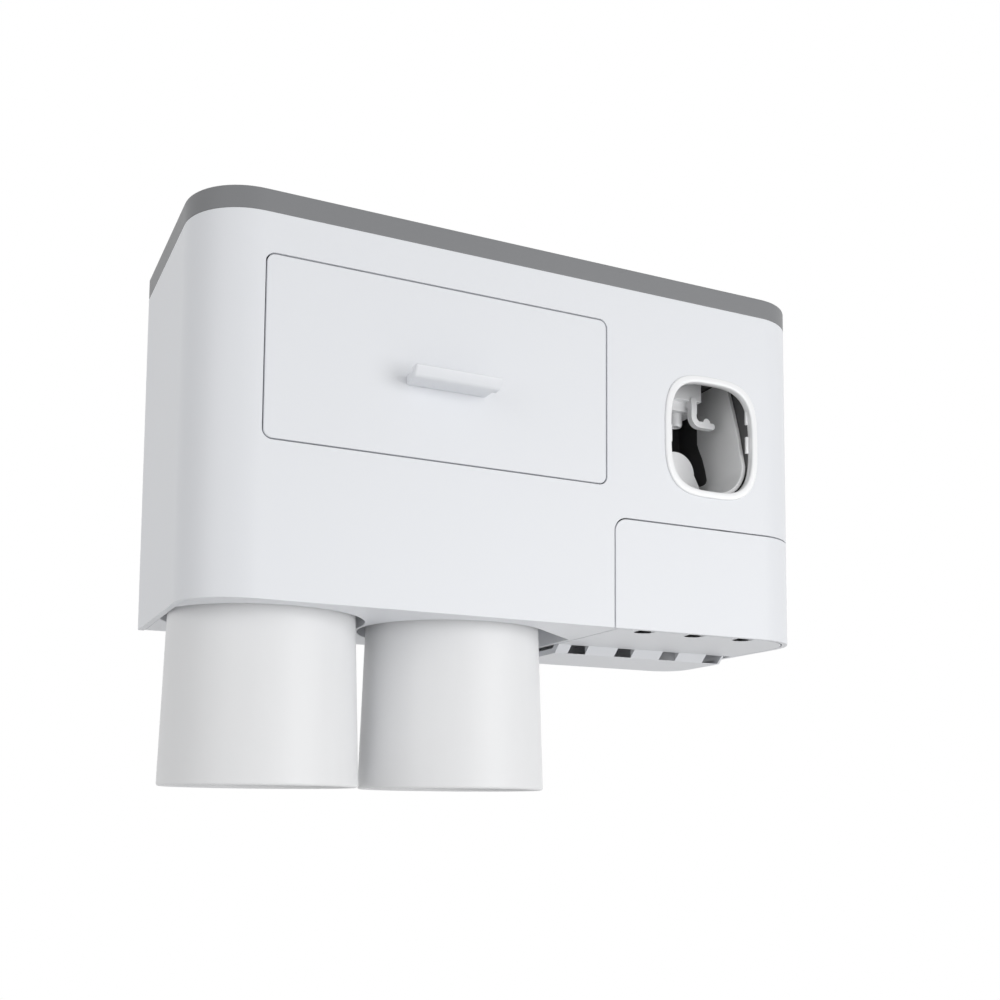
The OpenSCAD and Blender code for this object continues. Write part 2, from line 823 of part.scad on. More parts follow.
module pump_cylinder() color(gloss_white) on_wall() {
    port_z = pump_z + barrel_out_r + duct_bore_r;
    difference() {
        union() {
            rod_y(win_x, pump_z, pump_front, barrel_rear, barrel_out_r);
            rod_z(win_x, socket_y, pump_z, pump_stub_top, pump_stub_r);
            rod_z(win_x, riser_y, pump_z, riser_top, riser_r);
            rod_y(win_x, duct_z, block_rear, riser_y, duct_r);
        }
        rod_y(win_x, pump_z, pump_front - over, barrel_rear - pump_end_t, barrel_r);
        rod_z(win_x, socket_y, pump_stub_top - valve_t - face_gap * 2, pump_stub_top + over, hose_r + pin_gap);
        rod_z(win_x, socket_y, pump_z, pump_stub_top, hose_bore_r);
        rod_z(win_x, riser_y, port_z, duct_z + duct_bore_r + face_gap, riser_bore_r);
        rod_y(win_x, port_z, riser_y, socket_y, duct_bore_r);
        rod_y(win_x, duct_z, block_rear - over, riser_y, duct_bore_r);
    }
}

module inlet_valve() color(rubber_grey) on_wall() {
    z0 = pump_stub_top - valve_t - face_gap * 2;
    rod_z(win_x, socket_y, z0, z0 + valve_t, valve_r);
}

module push_paddle() color(gloss_white) on_wall() {
    arm_top = pivot_z + paddle_arm_t / 2;
    difference() {
        union() {
            along_y(paddle_y, paddle_y + paddle_t) {
                translate([win_x, paddle_top_z - paddle_top_r]) circle(paddle_top_r);
                polygon([
                    [win_x - paddle_top_r, paddle_top_z - paddle_top_r], [win_x - paddle_half_w, paddle_shoulder_z],
                    [win_x - paddle_half_w + paddle_t, paddle_low_z], [win_x + paddle_half_w - paddle_t, paddle_low_z],
                    [win_x + paddle_half_w, paddle_shoulder_z], [win_x + paddle_top_r, paddle_top_z - paddle_top_r]
                ]);
                translate([win_x - paddle_stem_half_w, pivot_z]) square([2 * paddle_stem_half_w, paddle_low_z - pivot_z + over]);
            }
            rod_x(pivot_y, pivot_z, win_x - paddle_stem_half_w, win_x + paddle_stem_half_w, hub_r);
            box(
                win_x - paddle_stem_half_w, win_x + paddle_stem_half_w,
                paddle_y, pivot_y, pivot_z - paddle_arm_t / 2, arm_top
            );
            box(
                win_x - paddle_stem_half_w, win_x + paddle_stem_half_w,
                pivot_y, pivot_y + paddle_arm_len, pivot_z - paddle_arm_t / 2, arm_top
            );
        }
        rod_x(pivot_y, pivot_z, win_x - paddle_half_w, win_x + paddle_half_w, paddle_pin_r + pin_gap);
    }
}

module paddle_pin() color(steel_grey) on_wall() {
    rod_x(pivot_y, pivot_z, win_x - paddle_pin_half, win_x + paddle_pin_half, paddle_pin_r);
}

// Helix of one unbroken wire, from its low turn to its high turn
module paddle_spring() color(steel_grey) on_wall() {
    low = spring_low + spring_wire_r;
    high = spring_high - spring_wire_r;
    count = spring_turns * spring_steps;
    mean_r = spring_r - spring_wire_r;
    rings = [for (i = [0 : count]) let (a = 360 * i / spring_steps, z = low + (high - low) * i / count)
        [for (k = [0 : spring_sides - 1]) let (b = 360 * k / spring_sides, r = mean_r + spring_wire_r * cos(b))
            [win_x + r * cos(a), spring_y + r * sin(a), z + spring_wire_r * sin(b)]]];
    points = [for (ring = rings, p = ring) p];
    sides = [for (i = [0 : count - 1], k = [0 : spring_sides - 1]) let (n = (k + 1) % spring_sides, p = i * spring_sides)
        each [[p + k, p + spring_sides + n, p + spring_sides + k], [p + k, p + n, p + spring_sides + n]]];
    last = count * spring_sides;
    ends = [for (k = [1 : spring_sides - 2]) each [[0, k + 1, k], [last, last + k, last + k + 1]]];
    polyhedron(points = points, faces = concat(sides, ends));
}

module plunger() color(rubber_grey) on_wall() {
    piston_y = plunger_rod_end;
    difference() {
        union() {
            translate([win_x, plunger_nose_y + plunger_rod_r, pump_z]) sphere(plunger_rod_r);
            rod_y(win_x, pump_z, plunger_nose_y + plunger_rod_r, piston_y, plunger_rod_r);
            rod_y(win_x, pump_z, piston_y, piston_y + piston_len, barrel_r - pin_gap);
        }
        translate([win_x, piston_y + piston_len / 2 + seal_w / 2, pump_z]) rotate([90, 0, 0]) difference() {
            cylinder(h = seal_w, r = barrel_r + over);
            translate([0, 0, -over]) cylinder(h = seal_w + 2 * over, r = barrel_r - seal_in);
        }
    }
}

module plunger_seal() color(case_dark) on_wall() {
    mid = plunger_rod_end + piston_len / 2;
    half = seal_w / 2 - press_gap;
    translate([win_x, mid + half, pump_z]) rotate([90, 0, 0]) difference() {
        cylinder(h = 2 * half, r = barrel_r - press_gap);
        translate([0, 0, -over]) cylinder(h = 2 * half + 2 * over, r = barrel_r - seal_in + press_gap);
    }
}

// Cups and their dock

// Plan of both pockets, grown outwards, with the finger room to the right of the second cup
module pockets(grow) {
    r = pocket_r + grow;
    for (x = cup_x) translate([x, cup_y]) circle(r);
    polygon([
        [cup_x[1], cup_y - r], [cup_x[1] + dock_tip_half, cup_y - dock_tip_half - grow],
        [dock_right - dock_t + grow, cup_y - dock_tip_front - grow],
        [dock_right - dock_t + grow, cup_y + dock_tip_back + grow],
        [cup_x[1] + dock_tip_half, cup_y + dock_tip_half + grow], [cup_x[1], cup_y + r]
    ]);
}

module cup_dock() color(shell_white) on_wall() {
    rear = back_y - seat_gap;
    top = dock_ceiling + dock_t;
    difference() {
        union() {
            linear_extrude(dock_flange_t) intersection() {
                plan(wall + seat_gap, rear);
                translate([left, 0]) square([dock_right - left, rear]);
            }
            linear_extrude(top) intersection() {
                pockets(dock_t);
                plan(wall + seat_gap, rear);
                translate([left, 0]) square([dock_right - left, rear]);
            }
            for (x = cup_x) rod_z(x, cup_y, top - seat_gap, top + magnet_t, magnet_r + magnet_ring_t);
        }
        translate([0, 0, -over]) linear_extrude(dock_ceiling + over) pockets(0);
        for (x = cup_x) rod_z(x, cup_y, top, top + magnet_t + over, magnet_r + seat_gap);
    }
}

module dock_magnets() color(magnet_grey) on_wall() {
    for (x = cup_x) rod_z(x, cup_y, dock_ceiling + dock_t, dock_ceiling + dock_t + magnet_t, magnet_r);
}

module cup(x) {
    low = -cup_drop;
    lean = (cup_mouth_r - cup_end_r) / cup_len;
    inner_mouth = cup_mouth_r - cup_t;
    inner_end = cup_end_r - cup_t + lean * cup_t;
    arc = [for (i = [0 : cup_round_steps]) 90 * i / cup_round_steps];
    outer_round = [for (a = arc) [cup_end_r - cup_round_r + cup_round_r * cos(a), cup_top - cup_round_r + cup_round_r * sin(a)]];
    inner_round = [for (a = arc) [inner_end - cup_round_r + cup_t + (cup_round_r - cup_t) * sin(a),
        cup_top - cup_round_r + (cup_round_r - cup_t) * cos(a)]];
    difference() {
        translate([x, cup_y, 0]) rotate_extrude() polygon(concat(
            [[0, cup_top - cup_t]], inner_round, [[inner_mouth, low + cup_lip_r], [inner_mouth + cup_lip_r, low]],
            [[cup_mouth_r, low], [cup_mouth_r + cup_lip_r, low + cup_lip_r], [cup_mouth_r, low + 2 * cup_lip_r]],
            outer_round, [[0, cup_top]]
        ));
        rod_z(x, cup_y, cup_top - disc_t, cup_top + over, disc_r + seat_gap);
    }
}

module cup_disc(x) {
    rod_z(x, cup_y, cup_top - disc_t, cup_top, disc_r);
}

module cup_left() color(frost_white) on_wall() cup(cup_x[0]);
module cup_right() color(frost_white) on_wall() cup(cup_x[1]);
module cup_left_disc() color(steel_grey) on_wall() cup_disc(cup_x[0]);
module cup_right_disc() color(steel_grey) on_wall() cup_disc(cup_x[1]);

// Brush bay

module rack_base() color(shell_white) on_wall() {
    rear = back_y - seat_gap;
    step_y = bay_rear + rack_step;
    x1 = in_right - face_gap;
    pan_x1 = in_right - rack_side_in;
    side = [
        [bay_rear, rack_t], [bay_rear, 0], [step_y, -rack_drop], [rear, -rack_drop], [rear, rack_t - rack_drop],
        [step_y + rack_t, rack_t - rack_drop], [bay_rear + rack_t, rack_t]
    ];
    difference() {
        union() {
            linear_extrude(rack_t) intersection() {
                plan(rack_front, bay_rear + over);
                translate([rack_x, 0]) square([x1 - rack_x, bay_rear + over]);
            }
            intersection() {
                along_x(rack_x, pan_x1) polygon(side);
                translate([0, 0, -rack_drop - over]) linear_extrude(rack_drop + rack_t + 2 * over)
                    round_rect(rack_x - rack_corner_r, bay_rear - rack_corner_r, pan_x1 - rack_x + rack_corner_r, rear - bay_rear + rack_corner_r, rack_corner_r);
            }
        }
        for (i = [0 : slot_count - 1]) translate([cover_x + slot_first + i * slot_pitch, 0, -over]) linear_extrude(rack_t + 2 * over) {
            translate([-slot_w / 2, 0]) square([slot_w, rack_front + slot_deep - slot_w / 2]);
            translate([0, rack_front + slot_deep - slot_w / 2]) circle(slot_w / 2);
        }
        for (i = [0 : drain_count - 1]) {
            x = cover_x + drain_first + i * drain_pitch;
            box(x - drain_w / 2, x + drain_w / 2, bay_rear + seat_gap, step_y - seat_gap, -rack_drop - over, rack_t + over);
        }
    }
}

module brush_bay() color(shell_white) on_wall() {
    top = bay_ceiling_z + bay_t;
    x1 = in_right - face_gap;
    low = rack_t + seat_gap;
    bar_low = axis_z - bar_r - ear_room;
    side = [
        [rack_front, low], [bay_rear, low], [bay_rear, top], [arm_y, top], [arm_y, bar_low], [rack_front, bar_low]
    ];
    difference() {
        union() {
            translate([0, 0, bay_ceiling_z]) linear_extrude(bay_t) intersection() {
                plan(wall + seat_gap, bay_rear + bay_t);
                translate([bay_x, 0]) square([x1 - bay_x, bay_rear + bay_t]);
            }
            along_x(bay_x, bay_x + bay_t) polygon(side);
            box(bay_x, x1, bay_rear, bay_rear + bay_t, low, top);
            for (x = ear_xs) along_x(x - ear_w / 2, x + ear_w / 2) {
                translate([axis_y, axis_z]) circle(ear_r);
                translate([axis_y, axis_z - ear_r]) square([arm_y + arm_d - axis_y, ear_r + arm_up]);
                translate([arm_y, axis_z - ear_r]) square([arm_d, top - axis_z + ear_r]);
            }
        }
        rod_x(axis_y, axis_z, cover_x, right, rod_r + pin_gap);
    }
}

module dust_cover() color(shell_white) on_wall() {
    skin = axis_y - ear_r - seat_gap;
    difference() {
        union() {
            intersection() {
                linear_extrude(cover_h) difference() {
                    plan(0, cover_wrap);
                    plan(cover_t, cover_wrap + over);
                }
                cover_zone();
            }
            rod_x(axis_y, axis_z, cover_x + cover_rim_r, rod_x1 + cover_t, bar_r);
        }
        for (x = ear_xs) translate([x - ear_w / 2 - ear_room, 0, 0]) {
            rod_x(axis_y, axis_z, 0, ear_w + 2 * ear_room, ear_r + seat_gap);
            box(0, ear_w + 2 * ear_room, skin, axis_y + bar_r + over, axis_z, cover_h + over);
            box(0, ear_w + 2 * ear_room, axis_y, axis_y + bar_r + over, axis_z - bar_r - over, axis_z + over);
        }
        rod_x(axis_y, axis_z, cover_x + cover_t, rod_x1, rod_r + press_gap);
    }
}

module cover_rod() color(steel_grey) on_wall() {
    rod_x(axis_y, axis_z, cover_x + cover_t + seat_gap, rod_x1 - seat_gap, rod_r);
}

// Drawer

tray_x0 = drawer_x + tray_side_in;
tray_x1 = drawer_x + drawer_w - tray_side_in;
tray_z0 = drawer_z + tray_low_in;
tray_z1 = drawer_z + drawer_h - tray_high_in;
runner_z = tray_z0 + runner_up;

module drawer_front() color(shell_white) on_wall() {
    difference() {
        along_y(0, front_t)
            round_rect(drawer_x + seam, drawer_z + seam, drawer_w - 2 * seam, drawer_h - 2 * seam, front_corner_r);
        for (x = [-handle_screw_dx / 2, handle_screw_dx / 2])
            rod_y(drawer_mid_x + x, handle_z, -over, front_t + over, handle_screw_hole_r);
    }
}

module drawer_tray() color(shell_white) on_wall() {
    y0 = front_t + seat_gap / 2;
    y1 = front_t + drawer_d;
    divider_x = tray_x0 + (tray_x1 - tray_x0) * divider_share;
    difference() {
        union() {
            box(tray_x0, tray_x1, y0, y1, tray_z0, tray_z1);
            for (side = [[tray_x0 - runner_d, tray_x0 + over], [tray_x1 - over, tray_x1 + runner_d]])
                box(side[0], side[1], y0 + runner_h, y1, runner_z, runner_z + runner_h);
        }
        translate([0, 0, tray_z0 + drawer_floor_t]) linear_extrude(tray_z1 - tray_z0) difference() {
            round_rect(
                tray_x0 + drawer_wall, y0 + drawer_wall,
                tray_x1 - tray_x0 - 2 * drawer_wall, y1 - y0 - 2 * drawer_wall, drawer_inner_r
            );
            translate([divider_x, y0]) square([divider_t, y1 - y0]);
        }
        for (x = [-handle_screw_dx / 2, handle_screw_dx / 2])
            rod_y(drawer_mid_x + x, handle_z, y0 - over, y0 + drawer_wall + over, handle_screw_head_r + face_gap);
    }
}

module drawer_handle() color(gloss_white) on_wall() {
    half = handle_w / 2;
    front = -handle_d + handle_bar_t;
    difference() {
        union() {
            translate([0, 0, handle_z - handle_bar_h / 2]) linear_extrude(handle_bar_h)
                round_rect(drawer_mid_x - half, -handle_d, handle_w, handle_bar_t, handle_round_r);
            box(
                drawer_mid_x - half + handle_stem_in, drawer_mid_x + half - handle_stem_in,
                front - handle_round_r, -seat_gap / 2, handle_z - handle_stem_h / 2, handle_z + handle_stem_h / 2
            );
        }
        for (x = [-handle_screw_dx / 2, handle_screw_dx / 2])
            rod_y(drawer_mid_x + x, handle_z, front_t - handle_screw_len, over, handle_screw_bore_r);
    }
}

module handle_screws() color(steel_grey) on_wall() {
    for (x = [-handle_screw_dx / 2, handle_screw_dx / 2]) {
        rod_y(drawer_mid_x + x, handle_z, front_t, front_t + handle_screw_head_t, handle_screw_head_r);
        rod_y(drawer_mid_x + x, handle_z, front_t - handle_screw_len + seat_gap, front_t, handle_screw_r);
    }
}

module drawer_bay() color(shell_white) on_wall() {
    side_gap = bay_side_gap;
    x0 = tray_x0 - runner_d - side_gap;
    x1 = tray_x1 + runner_d + side_gap;
    z0 = tray_z0 - face_gap - bay_floor_t;
    y0 = wall + seat_gap;
    y1 = back_y - back_rib_h - face_gap;
    box(x0 - bay_wall, x1 + bay_wall, y0, y1, z0, z0 + bay_floor_t);
    for (side = [[x0 - bay_wall, x0, x0 + runner_d], [x1, x1 + bay_wall, x1 - runner_d]]) {
        box(side[0], side[1], y0, y1, z0, z0 + bay_up);
        for (z = [runner_z - face_gap - runner_h, runner_z + runner_h + face_gap])
            box(min(side[2], side[0]), max(side[2], side[1]), y0, y1, z, z + runner_h);
    }
    box(x0, x1, y1 - bay_wall, y1, z0, z0 + bay_floor_t + bay_lip_h);
}

housing_shell();
back_cover();
top_tray();
tube_socket();
wall_bracket();
adhesive_pad();
back_screws();
cup_dock();
dock_magnets();
rack_base();
brush_bay();
drawer_bay();
window_ring();
dispenser_case();
brush_guide();
nozzle_block();
nozzle();
feed_tube();
inlet_valve();
pump_cylinder();
paddle_pin();
paddle_spring();
case_screws();
drawer_front();
drawer_tray();
drawer_handle();
handle_screws();
dust_cover();
cover_rod();
push_paddle();
plunger();
plunger_seal();
cup_left();
cup_left_disc();
cup_right();
cup_right_disc();
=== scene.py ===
"""Dresses a wall-hung bathroom organiser: shell, tray, drawer, brush bay, dispenser and cups.

Lengths in the sub-assemblies are millimetres, measured as the part's own drawing does: X along
the wall, Y from the shell's front face to the wall and Z up from the shell's underside.
"""

import json
import logging
import math
from collections.abc import Sequence
from dataclasses import dataclass, field
from enum import Enum

import bmesh
import bpy
import numpy as np
from mathutils import Matrix, Vector

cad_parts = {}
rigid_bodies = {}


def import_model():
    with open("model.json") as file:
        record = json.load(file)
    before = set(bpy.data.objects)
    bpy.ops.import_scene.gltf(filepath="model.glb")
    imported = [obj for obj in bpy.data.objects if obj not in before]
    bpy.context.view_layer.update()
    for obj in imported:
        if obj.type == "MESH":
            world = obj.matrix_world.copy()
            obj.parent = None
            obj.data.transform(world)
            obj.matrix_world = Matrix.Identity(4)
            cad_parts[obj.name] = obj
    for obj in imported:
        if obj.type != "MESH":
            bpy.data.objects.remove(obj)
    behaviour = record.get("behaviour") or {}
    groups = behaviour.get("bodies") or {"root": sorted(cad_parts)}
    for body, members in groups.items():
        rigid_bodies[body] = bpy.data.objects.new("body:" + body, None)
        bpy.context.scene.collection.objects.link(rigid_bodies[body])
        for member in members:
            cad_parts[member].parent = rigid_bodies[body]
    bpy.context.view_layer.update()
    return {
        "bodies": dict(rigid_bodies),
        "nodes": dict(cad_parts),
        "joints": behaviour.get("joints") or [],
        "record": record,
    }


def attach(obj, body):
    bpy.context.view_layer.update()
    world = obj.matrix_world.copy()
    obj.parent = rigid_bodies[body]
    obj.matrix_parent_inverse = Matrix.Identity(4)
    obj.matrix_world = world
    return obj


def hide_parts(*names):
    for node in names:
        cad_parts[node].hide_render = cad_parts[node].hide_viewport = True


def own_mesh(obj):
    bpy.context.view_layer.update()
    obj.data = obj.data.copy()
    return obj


log = logging.getLogger("organiser")

MM = 0.001
ORIGIN = np.array([0.0, 96.0, 84.0])
FULL_TURN = 2.0 * math.pi
WHITE = (1.0, 1.0, 1.0, 1.0)

# Mesh clean-up: distances in metres, angles in radians, and the segments of a rounded edge
MADE_WELD = 2e-7
NODE_WELD = 2e-6
TINY_EDGE = 1e-7
FLAT = math.radians(0.5)
SHARP = math.radians(30.0)
EDGE_SEGMENTS = 3

# Radii in millimetres of the nodes' rounded edges
EDGES = {
    "housing_shell": 0.18,
    "back_cover": 0.15,
    "wall_bracket": 0.15,
    "top_tray": 0.35,
    "tube_socket": 0.5,
    "drawer_bay": 0.25,
    "drawer_front": 0.4,
    "drawer_tray": 0.15,
    "brush_bay": 0.2,
    "dust_cover": 0.25,
    "dispenser_case": 0.2,
    "brush_guide": 0.4,
    "nozzle_block": 0.15,
    "nozzle": 0.2,
    "feed_tube": 0.2,
    "inlet_valve": 0.2,
    "push_paddle": 0.3,
    "plunger": 0.25,
    "cup_dock": 0.3,
}

Pair = tuple[float, float]
Triple = tuple[float, float, float]
Surface = tuple[np.ndarray, np.ndarray]


class Slot(Enum):
    """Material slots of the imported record."""

    SHELL = "shell_white"
    TRAY = "tray_grey"
    TRIM = "trim_white"
    CUP = "cup_frosted"
    GUIDE = "guide_grey"
    CASE_PAINTED_SHADE = "case_dark"
    SILICONE = "silicone_grey"
    SEAL = "seal_black"
    FOAM = "pad_foam"
    STEEL = "steel"
    MAGNET = "magnet"


class Body(Enum):
    """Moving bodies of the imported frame."""

    ORGANISER = "organiser"
    DRAWER = "drawer"
    COVER = "flip_cover"
    PADDLE = "paddle"
    PISTON = "piston"
    LEFT_CUP = "left_cup"
    RIGHT_CUP = "right_cup"


# Shader maths


class Wire:
    """One output socket, with arithmetic that adds Math nodes."""

    def __init__(self, graph: "Graph", socket: bpy.types.NodeSocket) -> None:
        """Keeps the graph and the socket."""
        self.graph = graph
        self.socket = socket

    def _math(self, operation: str, first: "Wire | float", second: "Wire | float") -> "Wire":
        """Adds a Math node.

        Args:
            operation: Blender's name of the operation.
            first: Left operand.
            second: Right operand.

        Returns:
            The result's socket.
        """
        return self.graph.node("ShaderNodeMath", {"operation": operation}, {0: first, 1: second})

    def __add__(self, other: "Wire | float") -> "Wire":
        """Sum."""
        return self._math("ADD", self, other)

    __radd__ = __add__

    def __sub__(self, other: "Wire | float") -> "Wire":
        """Difference."""
        return self._math("SUBTRACT", self, other)

    def __rsub__(self, other: float) -> "Wire":
        """Difference from a number."""
        return self._math("SUBTRACT", other, self)

    def __mul__(self, other: "Wire | float") -> "Wire":
        """Product."""
        return self._math("MULTIPLY", self, other)

    def step(self, low: float, high: float) -> "Wire":
        """Smooth step from 0 at low to 1 at high."""
        settings = {"interpolation_type": "SMOOTHSTEP"}
        return self.graph.node("ShaderNodeMapRange", settings, {0: self, 1: low, 2: high})


class Graph:
    """Builds the node tree of a material or of the world."""

    def __init__(self, tree: bpy.types.NodeTree) -> None:
        """Empties the tree."""
        self.tree = tree
        tree.nodes.clear()

    def node(
        self,
        kind: str,
        settings: dict[str, object] | None = None,
        inputs: dict[int | str, object] | None = None,
        output: int | str = 0,
    ) -> Wire:
        """Adds any node.

        Args:
            kind: Blender's type name of the node.
            settings: Properties, set before the sockets.
            inputs: Values or wires by socket name or number.
            output: Output to return.

        Returns:
            The wire of the chosen output.
        """
        made = self.tree.nodes.new(kind)
        for key, value in (settings or {}).items():
            setattr(made, key, value)
        for key, value in (inputs or {}).items():
            if isinstance(value, Wire):
                self.tree.links.new(value.socket, made.inputs[key])
            else:
                made.inputs[key].default_value = value
        return Wire(self, made.outputs[output]) if len(made.outputs) else Wire(self, None)

    def place(self, stretch: Triple = (1.0, 1.0, 1.0)) -> Wire:
        """Object coordinates in metres, stretched; a factor below 1 draws a pattern out along its axis."""
        raw = self.node("ShaderNodeTexCoord", output="Object")
        return self.node("ShaderNodeVectorMath", {"operation": "MULTIPLY"}, {0: raw, 1: stretch})

    def noise(self, size: float, detail: float = 2.0, where: Wire | None = None) -> Wire:
        """Noise with features of a size in metres."""
        inputs = {"Vector": where or self.place(), "Scale": 1.0 / size, "Detail": detail}
        return self.node("ShaderNodeTexNoise", None, inputs)

    def blend(self, first: Triple, second: Triple, share: Wire) -> Wire:
        """Mixes two colours by a wire from 0 to 1."""
        inputs = {0: share, 6: (*first, 1.0), 7: (*second, 1.0)}
        return self.node("ShaderNodeMix", {"data_type": "RGBA"}, inputs, output=2)

    def bump(self, height: Wire, depth: float) -> Wire:
        """Bump of a depth in metres."""
        return self.node("ShaderNodeBump", None, {"Height": height, "Distance": depth, "Strength": 1.0})

    def finish(self, shader: Wire, output: str = "ShaderNodeOutputMaterial") -> None:
        """Links a shader to the output."""
        self.node(output, None, {"Surface": shader})


# Finishes


@dataclass(frozen=True)
class Finish:
    """A finish: its colour and gloss, and the constants of the shader's own sockets.

    Attributes:
        slot: Material slot of the record.
        colour: Linear base colour.
        roughness: Mean roughness.
        specular: Specular level.
        coat: Weight of a clear coat.
        coat_roughness: Roughness of the clear coat.
        tone: How far the colour wanders, as a share.
        broad: Size of the patches of tone in metres.
        swing: How far the roughness wanders from patch to patch.
        grain: Size of the surface grain in metres.
        grain_depth: Depth of the surface grain in metres.
        grain_swing: How far the roughness wanders from grain to grain.
    """

    slot: Slot
    colour: Triple
    roughness: float
    specular: float = 0.5
    coat: float = 0.0
    coat_roughness: float = 0.08
    tone: float = 0.012
    broad: float = 0.045
    swing: float = 0.06
    grain: float = 0.0009
    grain_depth: float = 0.000006
    grain_swing: float = 0.05

    def constants(self) -> dict[str, object]:
        """Values that are the same all over the surface."""
        return {
            "Specular IOR Level": self.specular,
            "Coat Weight": self.coat,
            "Coat Roughness": self.coat_roughness,
        }

    def tones(self, graph: Graph, share: Wire) -> Wire:
        """Wanders between a darker and a lighter tone of the colour."""
        dark = tuple(c * (1.0 - self.tone) for c in self.colour)
        light = tuple(min(1.0, c * (1.0 + self.tone)) for c in self.colour)
        return graph.blend(dark, light, share)

    def pattern(self, graph: Graph) -> dict[str, object]:
        """Sockets of the shader that change over the surface: broad tone and fine grain."""
        broad = graph.noise(self.broad)
        fine = graph.noise(self.grain)
        return {
            "Base Color": self.tones(graph, broad),
            "Roughness": self.roughness + (broad - 0.5) * self.swing + (fine - 0.5) * self.grain_swing,
            "Normal": graph.bump(fine, self.grain_depth),
        }

    def material(self) -> bpy.types.Material:
        """Makes the material once, and finds it again later."""
        found = bpy.data.materials.get(self.slot.value + "_finish")
        if found:
            return found
        made = bpy.data.materials.new(self.slot.value + "_finish")
        made.use_nodes = True
        made.diffuse_color = (*self.colour, 1.0)
        graph = Graph(made.node_tree)
        shader = graph.node("ShaderNodeBsdfPrincipled", None, self.constants() | self.pattern(graph))
        graph.finish(shader)
        return made


@dataclass(frozen=True)
class FrostedPlastic(Finish):
    """Frosted, faintly see-through plastic with light scattered below its surface.

    Attributes:
        scatter: Weight of the scattered light.
        scatter_depth: How far light travels in metres.
        flow: Factors that draw the flow marks out.
        flow_detail: Detail of the flow marks.
        flow_share: Height of the flow marks as a share of the grain's.
    """

    broad: float = 0.006
    swing: float = 0.08
    grain_swing: float = 0.06
    scatter: float = 0.3
    scatter_depth: float = 0.003
    flow: Triple = (1.0, 1.0, 0.12)
    flow_detail: float = 3.0
    flow_share: float = 0.5

    def constants(self) -> dict[str, object]:
        """Adds the scattered light to the plain constants."""
        depth = self.scatter_depth
        return super().constants() | {
            "Subsurface Weight": self.scatter,
            "Subsurface Radius": (depth, depth, depth),
            "Subsurface Scale": 1.0,
        }

    def pattern(self, graph: Graph) -> dict[str, object]:
        """Adds faint upright flow marks to the plain grain."""
        flow = graph.noise(self.broad, self.flow_detail, graph.place(self.flow))
        fine = graph.noise(self.grain)
        return {
            "Base Color": self.tones(graph, flow),
            "Roughness": self.roughness + (flow - 0.5) * self.swing + (fine - 0.5) * self.grain_swing,
            "Normal": graph.bump(fine + flow * self.flow_share, self.grain_depth),
        }


@dataclass(frozen=True)
class BrushedMetal(Finish):
    """Metal with fine brush marks drawn out along one axis.

    Attributes:
        marks: Width of the brush marks in metres.
        marks_detail: Detail of the brush marks.
        stretch: Factors that draw the marks out.
    """

    broad: float = 0.01
    swing: float = 0.2
    marks: float = 0.0003
    marks_detail: float = 3.0
    stretch: Triple = (1.0, 0.04, 1.0)

    def constants(self) -> dict[str, object]:
        """Adds full metalness to the plain constants."""
        return super().constants() | {"Metallic": 1.0}

    def pattern(self, graph: Graph) -> dict[str, object]:
        """Brush marks in the roughness and the surface."""
        marks = graph.noise(self.marks, self.marks_detail, graph.place(self.stretch))
        broad = graph.noise(self.broad)
        return {
            "Base Color": self.tones(graph, broad),
            "Roughness": self.roughness + (marks - 0.5) * self.swing,
            "Normal": graph.bump(marks, self.grain_depth),
        }


@dataclass(frozen=True)
class CellFoam(Finish):
    """Foam with small open cells on its cut faces, with painted shade in the cells where the surface sinks.

    Attributes:
        wall: Distances, as shares of a cell, between which its floor rises to its wall.
    """

    swing: float = 0.05
    wall: Pair = (0.1, 0.7)

    def pattern(self, graph: Graph) -> dict[str, object]:
        """Cells sink the surface, and painted shade darkens the colour where it sinks."""
        inputs = {"Vector": graph.place(), "Scale": 1.0 / self.grain}
        cells = graph.node("ShaderNodeTexVoronoi", None, inputs).step(*self.wall)
        return {
            # Painted shade: the colour darkens as the cells sink, as their shadowed hollows would look.
            "Base Color": self.tones(graph, 1.0 - cells),
            "Roughness": self.roughness + cells * self.swing,
            "Normal": graph.bump(1.0 - cells, self.grain_depth),
        }


SHELL = Finish(Slot.SHELL, (0.80, 0.815, 0.845), 0.42, tone=0.008)
TRAY = Finish(Slot.TRAY, (0.205, 0.209, 0.217), 0.46, tone=0.02)
TRIM = Finish(Slot.TRIM, (0.90, 0.905, 0.915), 0.22, coat=0.2, tone=0.004, grain_depth=0.000002)
CUP = FrostedPlastic(Slot.CUP, (0.835, 0.84, 0.85), 0.46, tone=0.012, grain=0.0007)
GUIDE = Finish(Slot.GUIDE, (0.84, 0.843, 0.846), 0.38, tone=0.015)
# The case's near-black colour is painted shade: the dispenser's inside behind the window lies in shadow, and this dark
# colour stands in for that shadow.
CASE_PAINTED_SHADE = Finish(Slot.CASE_PAINTED_SHADE, (0.08, 0.08, 0.082), 0.5, tone=0.06)
SILICONE = Finish(Slot.SILICONE, (0.42, 0.43, 0.44), 0.58, specular=0.4, tone=0.02, grain=0.0006)
SEAL = Finish(Slot.SEAL, (0.022, 0.022, 0.024), 0.55, specular=0.4, tone=0.08, grain=0.0005)
# FOAM's tone of 0.15 sets how dark the painted shade in its cells' hollows gets.
FOAM = CellFoam(Slot.FOAM, (0.60, 0.61, 0.62), 0.9, specular=0.2, tone=0.15, grain=0.0008, grain_depth=0.00008)
STEEL = BrushedMetal(Slot.STEEL, (0.60, 0.60, 0.61), 0.32, tone=0.03, grain_depth=0.000002)
MAGNET = BrushedMetal(
    Slot.MAGNET, (0.46, 0.45, 0.43), 0.28, tone=0.03, grain_depth=0.000002, stretch=(1.0, 1.0, 1.0)
)


# Surfaces worked out on grids


